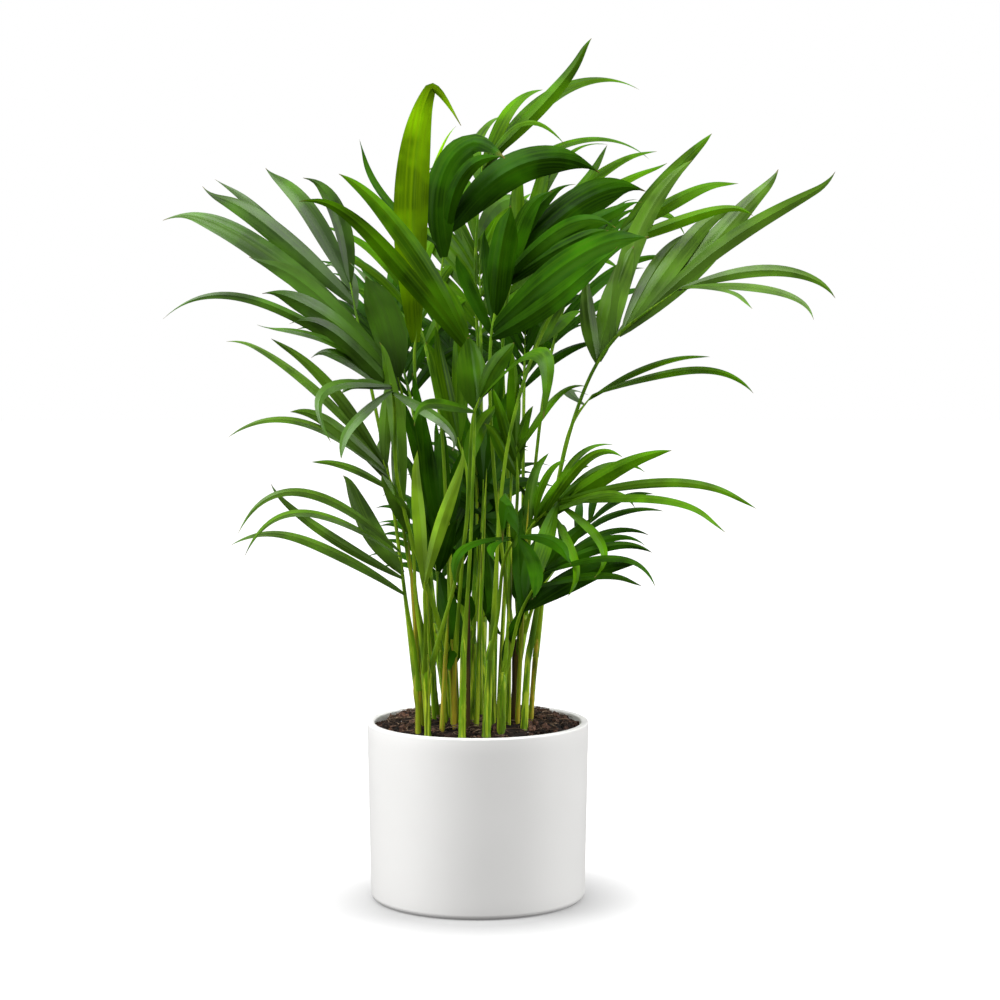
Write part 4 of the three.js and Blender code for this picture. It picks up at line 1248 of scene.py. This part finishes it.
# The nodes of a material or of the world, and the ways to add and join them
class Nodes:
    def __init__(self, owner):
        owner.use_nodes = True
        self.owner = owner
        self.tree = owner.node_tree

    # Sets a socket to a value, or joins another node's output to it
    def feed(self, socket, value):
        if isinstance(value, bpy.types.NodeSocket):
            self.tree.links.new(value, socket)
        else:
            socket.default_value = value

    def add(self, kind, inputs=(), **settings):
        node = self.tree.nodes.new(kind)
        for name, value in settings.items():
            setattr(node, name, value)
        for socket, value in dict(inputs).items():
            self.feed(node.inputs[socket], value)
        return node

    def places(self, kind="Object"):
        return self.add("ShaderNodeTexCoord").outputs[kind]

    def parts(self, vector):
        return self.add("ShaderNodeSeparateXYZ", {"Vector": vector}).outputs

    def attribute(self, name):
        return self.add("ShaderNodeAttribute", attribute_name=name).outputs["Fac"]

    def noise(self, source, scale, detail=3, stretch=(1, 1, 1)):
        vector = self.add("ShaderNodeMapping", {"Vector": source, "Scale": stretch}).outputs["Vector"]
        inputs = {"Vector": vector, "Scale": scale, "Detail": detail}
        return self.add("ShaderNodeTexNoise", inputs).outputs["Fac"]

    def spread(self, value, low, high, to_low, to_high):
        inputs = {"Value": value, "From Min": low, "From Max": high, "To Min": to_low, "To Max": to_high}
        return self.add("ShaderNodeMapRange", inputs).outputs["Result"]

    def mix(self, share, low, high):
        low, high = ((*colour, 1) if isinstance(colour, tuple) else colour for colour in (low, high))
        return self.add("ShaderNodeMix", {0: share, 6: low, 7: high}, data_type="RGBA").outputs[2]

    # Lays a colour over another where a value is in a range, from one strength to another
    def cover(self, under, over, value, low, high, to_low, to_high):
        return self.mix(self.spread(value, low, high, to_low, to_high), under, over)

    def mix_values(self, share, low, high):
        return self.add("ShaderNodeMix", {0: share, 2: low, 3: high}, data_type="FLOAT").outputs[0]

    def surface(self, colour, roughness, gloss):
        shader = self.tree.nodes["Principled BSDF"]
        self.feed(shader.inputs["Base Color"], colour)
        self.feed(shader.inputs["Roughness"], roughness)
        self.feed(shader.inputs["Specular IOR Level"], gloss)
        return shader

    def bump(self, height, distance, strength=1.0):
        inputs = {"Height": height, "Distance": distance, "Strength": strength}
        normal = self.add("ShaderNodeBump", inputs).outputs["Normal"]
        self.feed(self.tree.nodes["Principled BSDF"].inputs["Normal"], normal)


def new_finish(name):
    return Nodes(bpy.data.materials.new(name))


def times(colour, share):
    return tuple(share * part for part in colour)


def pot_finish():
    paint = new_finish("matte_white_pot")
    clouds = paint.noise(paint.places(), 18, 4)
    paint.surface(paint.mix(clouds, *POT_WHITES), paint.spread(clouds, 0.3, 0.7, 0.42, 0.52), 0.5)
    paint.bump(paint.noise(paint.places(), 900), 0.00012, 0.35)
    return paint.owner


def soil_finish():
    paint = new_finish("dark_soil")
    lumps = paint.noise(paint.places(), 130, 5)
    paint.surface(paint.mix(lumps, *SOIL_COLOURS), 0.9, 0.25)
    paint.bump(paint.noise(paint.places(), 900, 4), 0.0012)
    return paint.owner


# A finish for small loose bits, each a shade between two colours
def bits_finish(name, low, high, roughness, grain_scale):
    paint = new_finish(name)
    grain = paint.noise(paint.places(), grain_scale, 4)
    mixed = paint.mix(paint.attribute("shade"), low, high)
    paint.surface(paint.cover(low, mixed, grain, 0.35, 0.65, 0, 1), roughness, 0.25)
    paint.bump(grain, 0.0006)
    return paint.owner


# A cane: darker between pale lines along it, partly painted highlight, with dark bands of painted shade
def stem_finish(name, low, high, streak):
    paint = new_finish(name)
    places = paint.places()
    lines = paint.noise(places, 60, 3, STEM_LINES)
    blotches = paint.noise(places, 75, 3, STEM_SHADE_BANDS)
    colour = paint.cover(low, high, paint.parts(places)["Z"], *STEM_CLIMB, 0, 1)
    # Pale lines along the cane, on the green and straw canes partly painted highlight
    colour = paint.cover(colour, streak, lines, 0.46, 0.58, 0, 0.95)
    # Dark bands of painted shade along the cane
    colour = paint.cover(colour, times(low, SHADE_BAND_DARKNESS), blotches, 0.5, 0.64, 0, 0.85)
    paint.surface(colour, 0.32, 0.14)
    paint.bump(lines, 0.0003, 0.5)
    return paint.owner


def rib_finish():
    paint = new_finish("petiole")
    places = paint.places()
    shade = paint.attribute("shade")
    lines = paint.noise(places, 60, 3, RIB_LINES)
    blotches = paint.noise(places, 60, 2, RIB_BLOTCHES)
    low = paint.mix(shade, *RIB_LOW)
    high = paint.mix(shade, *RIB_HIGH)
    colour = paint.cover(low, high, paint.parts(places)["Z"], *RIB_CLIMB, 0, 1)
    colour = paint.cover(colour, RIB_LIT, lines, 0.48, 0.6, 0, 0.4)
    colour = paint.cover(colour, RIB_BLOTCH, blotches, 0.48, 0.66, 0, 0.8)
    paint.surface(colour, 0.38, 0.1)
    paint.bump(lines, 0.0003, 0.5)
    return paint.owner


# A leaf: each its own shade, with parallel veins, clouds, lit patches of painted light and dark patches
# of painted shade, painted shade towards its root, a paler under side that is partly painted light
# shining through, and a dry point at the tip
def leaf_finish(name, upper, under, roughness, gloss):
    paint = new_finish(name)
    leaf_map = paint.parts(paint.add("ShaderNodeUVMap", uv_map="Leaf").outputs["UV"])
    shade = paint.attribute("shade")
    own_map = paint.add("ShaderNodeCombineXYZ", {"X": leaf_map["X"], "Y": leaf_map["Y"], "Z": shade})
    veins = paint.noise(own_map.outputs["Vector"], 1, 3, LEAF_VEINS)
    light_and_shade_patches = paint.noise(paint.places(), 26, 2)
    deep = times(upper, DARKEST_LEAF)
    bright = times(upper, LIGHTEST_LEAF)
    painted_shade = times(deep, PAINTED_SHADE_SHARE)
    colour = paint.mix(shade, deep, bright)
    # Lit patches of painted light and dark patches of painted shade
    colour = paint.cover(colour, times(bright, PAINTED_LIGHT_BRIGHTNESS), light_and_shade_patches, 0.42, 0.68, 0, 0.8)
    colour = paint.cover(colour, painted_shade, light_and_shade_patches, 0.30, 0.46, 0.7, 0)
    colour = paint.cover(colour, under, veins, 0.42, 0.68, 0, 0.65)
    # Painted shade towards the leaflet's root
    colour = paint.cover(colour, painted_shade, leaf_map["Y"], 0, 0.4, 0.7, 0)
    # Back faces take the under colour, partly painted light shining through the leaf
    colour = paint.mix(paint.attribute("under"), colour, under)
    colour = paint.cover(colour, DRY_TIP, leaf_map["Y"], DRY_FROM, 1, 0, 0.9)
    paint.surface(colour, paint.spread(veins, 0.3, 0.7, roughness - 0.04, roughness + 0.08), gloss)
    paint.bump(veins, 0.00015, 0.4)
    return paint.owner


# A pale floor, washed out by its own light away from the pot's foot, with a painted shadow where
# it glows less near the foot
def floor_finish():
    paint = new_finish("pale_floor")
    places = paint.places()
    colour = paint.mix(paint.noise(places, 40, 2), *FLOOR_GREYS)
    distance = paint.add("ShaderNodeVectorMath", {0: places, 1: PAINTED_SHADOW_MIDDLE}, operation="DISTANCE")
    shader = paint.surface(colour, 0.9, 0.1)
    # Less glow near the pot's foot paints the pot's shadow on the floor
    glow_and_painted_shadow = paint.spread(distance.outputs["Value"], *FLOOR_GLOW_AND_PAINTED_SHADOW)
    paint.feed(shader.inputs["Emission Strength"], glow_and_painted_shadow)
    paint.feed(shader.inputs["Emission Color"], (1, 1, 1, 1))
    return paint.owner


def make_floor():
    bpy.ops.mesh.primitive_plane_add(size=FLOOR_SIZE, location=(0, 0, 0))
    floor = bpy.context.active_object
    floor.name = "studio_floor"
    floor.data.materials.append(floor_finish())
    floor.visible_diffuse = False
    floor.visible_glossy = False


def add_softbox(name, place, size, power):
    light = bpy.data.lights.new(name, "AREA")
    light.shape = "RECTANGLE"
    light.size, light.size_y = size
    light.energy = power
    box = bpy.data.objects.new(name, light)
    bpy.context.scene.collection.objects.link(box)
    box.location = place
    box.rotation_euler = (Vector(LIT_PLACE) - Vector(place)).to_track_quat("-Z", "Y").to_euler()


# A white backdrop for the camera; the light it gives comes from above and the sides, and little
# of it from the front
def light_studio():
    world = bpy.data.worlds.new("studio")
    bpy.context.scene.world = world
    sky = Nodes(world)
    direction = sky.parts(sky.places("Generated"))
    around = sky.spread(direction["Y"], -0.9, 0.4, FRONT_LIGHT, BACK_LIGHT)
    low = sky.mix_values(sky.spread(direction["Z"], -0.35, 0.05, 0, 1), FLOOR_LIGHT, around)
    light = sky.mix_values(sky.spread(direction["Z"], 0.15, 0.9, 0, 1), low, TOP_LIGHT)
    is_seen = sky.add("ShaderNodeLightPath").outputs["Is Camera Ray"]
    background = sky.tree.nodes["Background"]
    sky.feed(background.inputs["Strength"], sky.mix_values(is_seen, light, 1))
    sky.feed(background.inputs["Color"], (1, 1, 1, 1))
    for softbox in SOFTBOXES:
        add_softbox(*softbox)
    bpy.context.scene.view_settings.view_transform = "Standard"


def place_camera():
    camera = bpy.data.cameras.new("front_camera")
    camera.lens = LENS
    camera.sensor_width = SENSOR
    stand = bpy.data.objects.new("front_camera", camera)
    bpy.context.scene.collection.objects.link(stand)
    stand.location = EYE * MM
    stand.rotation_euler = (math.pi / 2 - LOOK_DOWN, 0, 0)
    bpy.context.scene.camera = stand


FINISHES = {bark: stem_finish("cane_" + bark, *colours) for bark, colours in BARKS.items()}
FINISHES["rib"] = rib_finish()
for tint, (_, *look) in LEAF_TINTS.items():
    FINISHES[tint] = leaf_finish("leaf_" + tint, *look)

place_camera()
light_studio()
make_floor()
make_pot()
make_soil()
dress_soil()
for frond in FRONDS:
    frond["way"] = [seen_at(*frond[part]) for part in ("knee", "neck", "end")]
fronds = FRONDS + [far_frond(*row) for row in FAR_FRONDS]
for stem in STEMS:
    place_feet(stem, [frond for frond in fronds if frond["stem"] == stem])
    make_stem(stem)
make_stalks()
for frond in fronds:
    make_frond(frond)

bpy.ops.object.select_all(action="DESELECT")
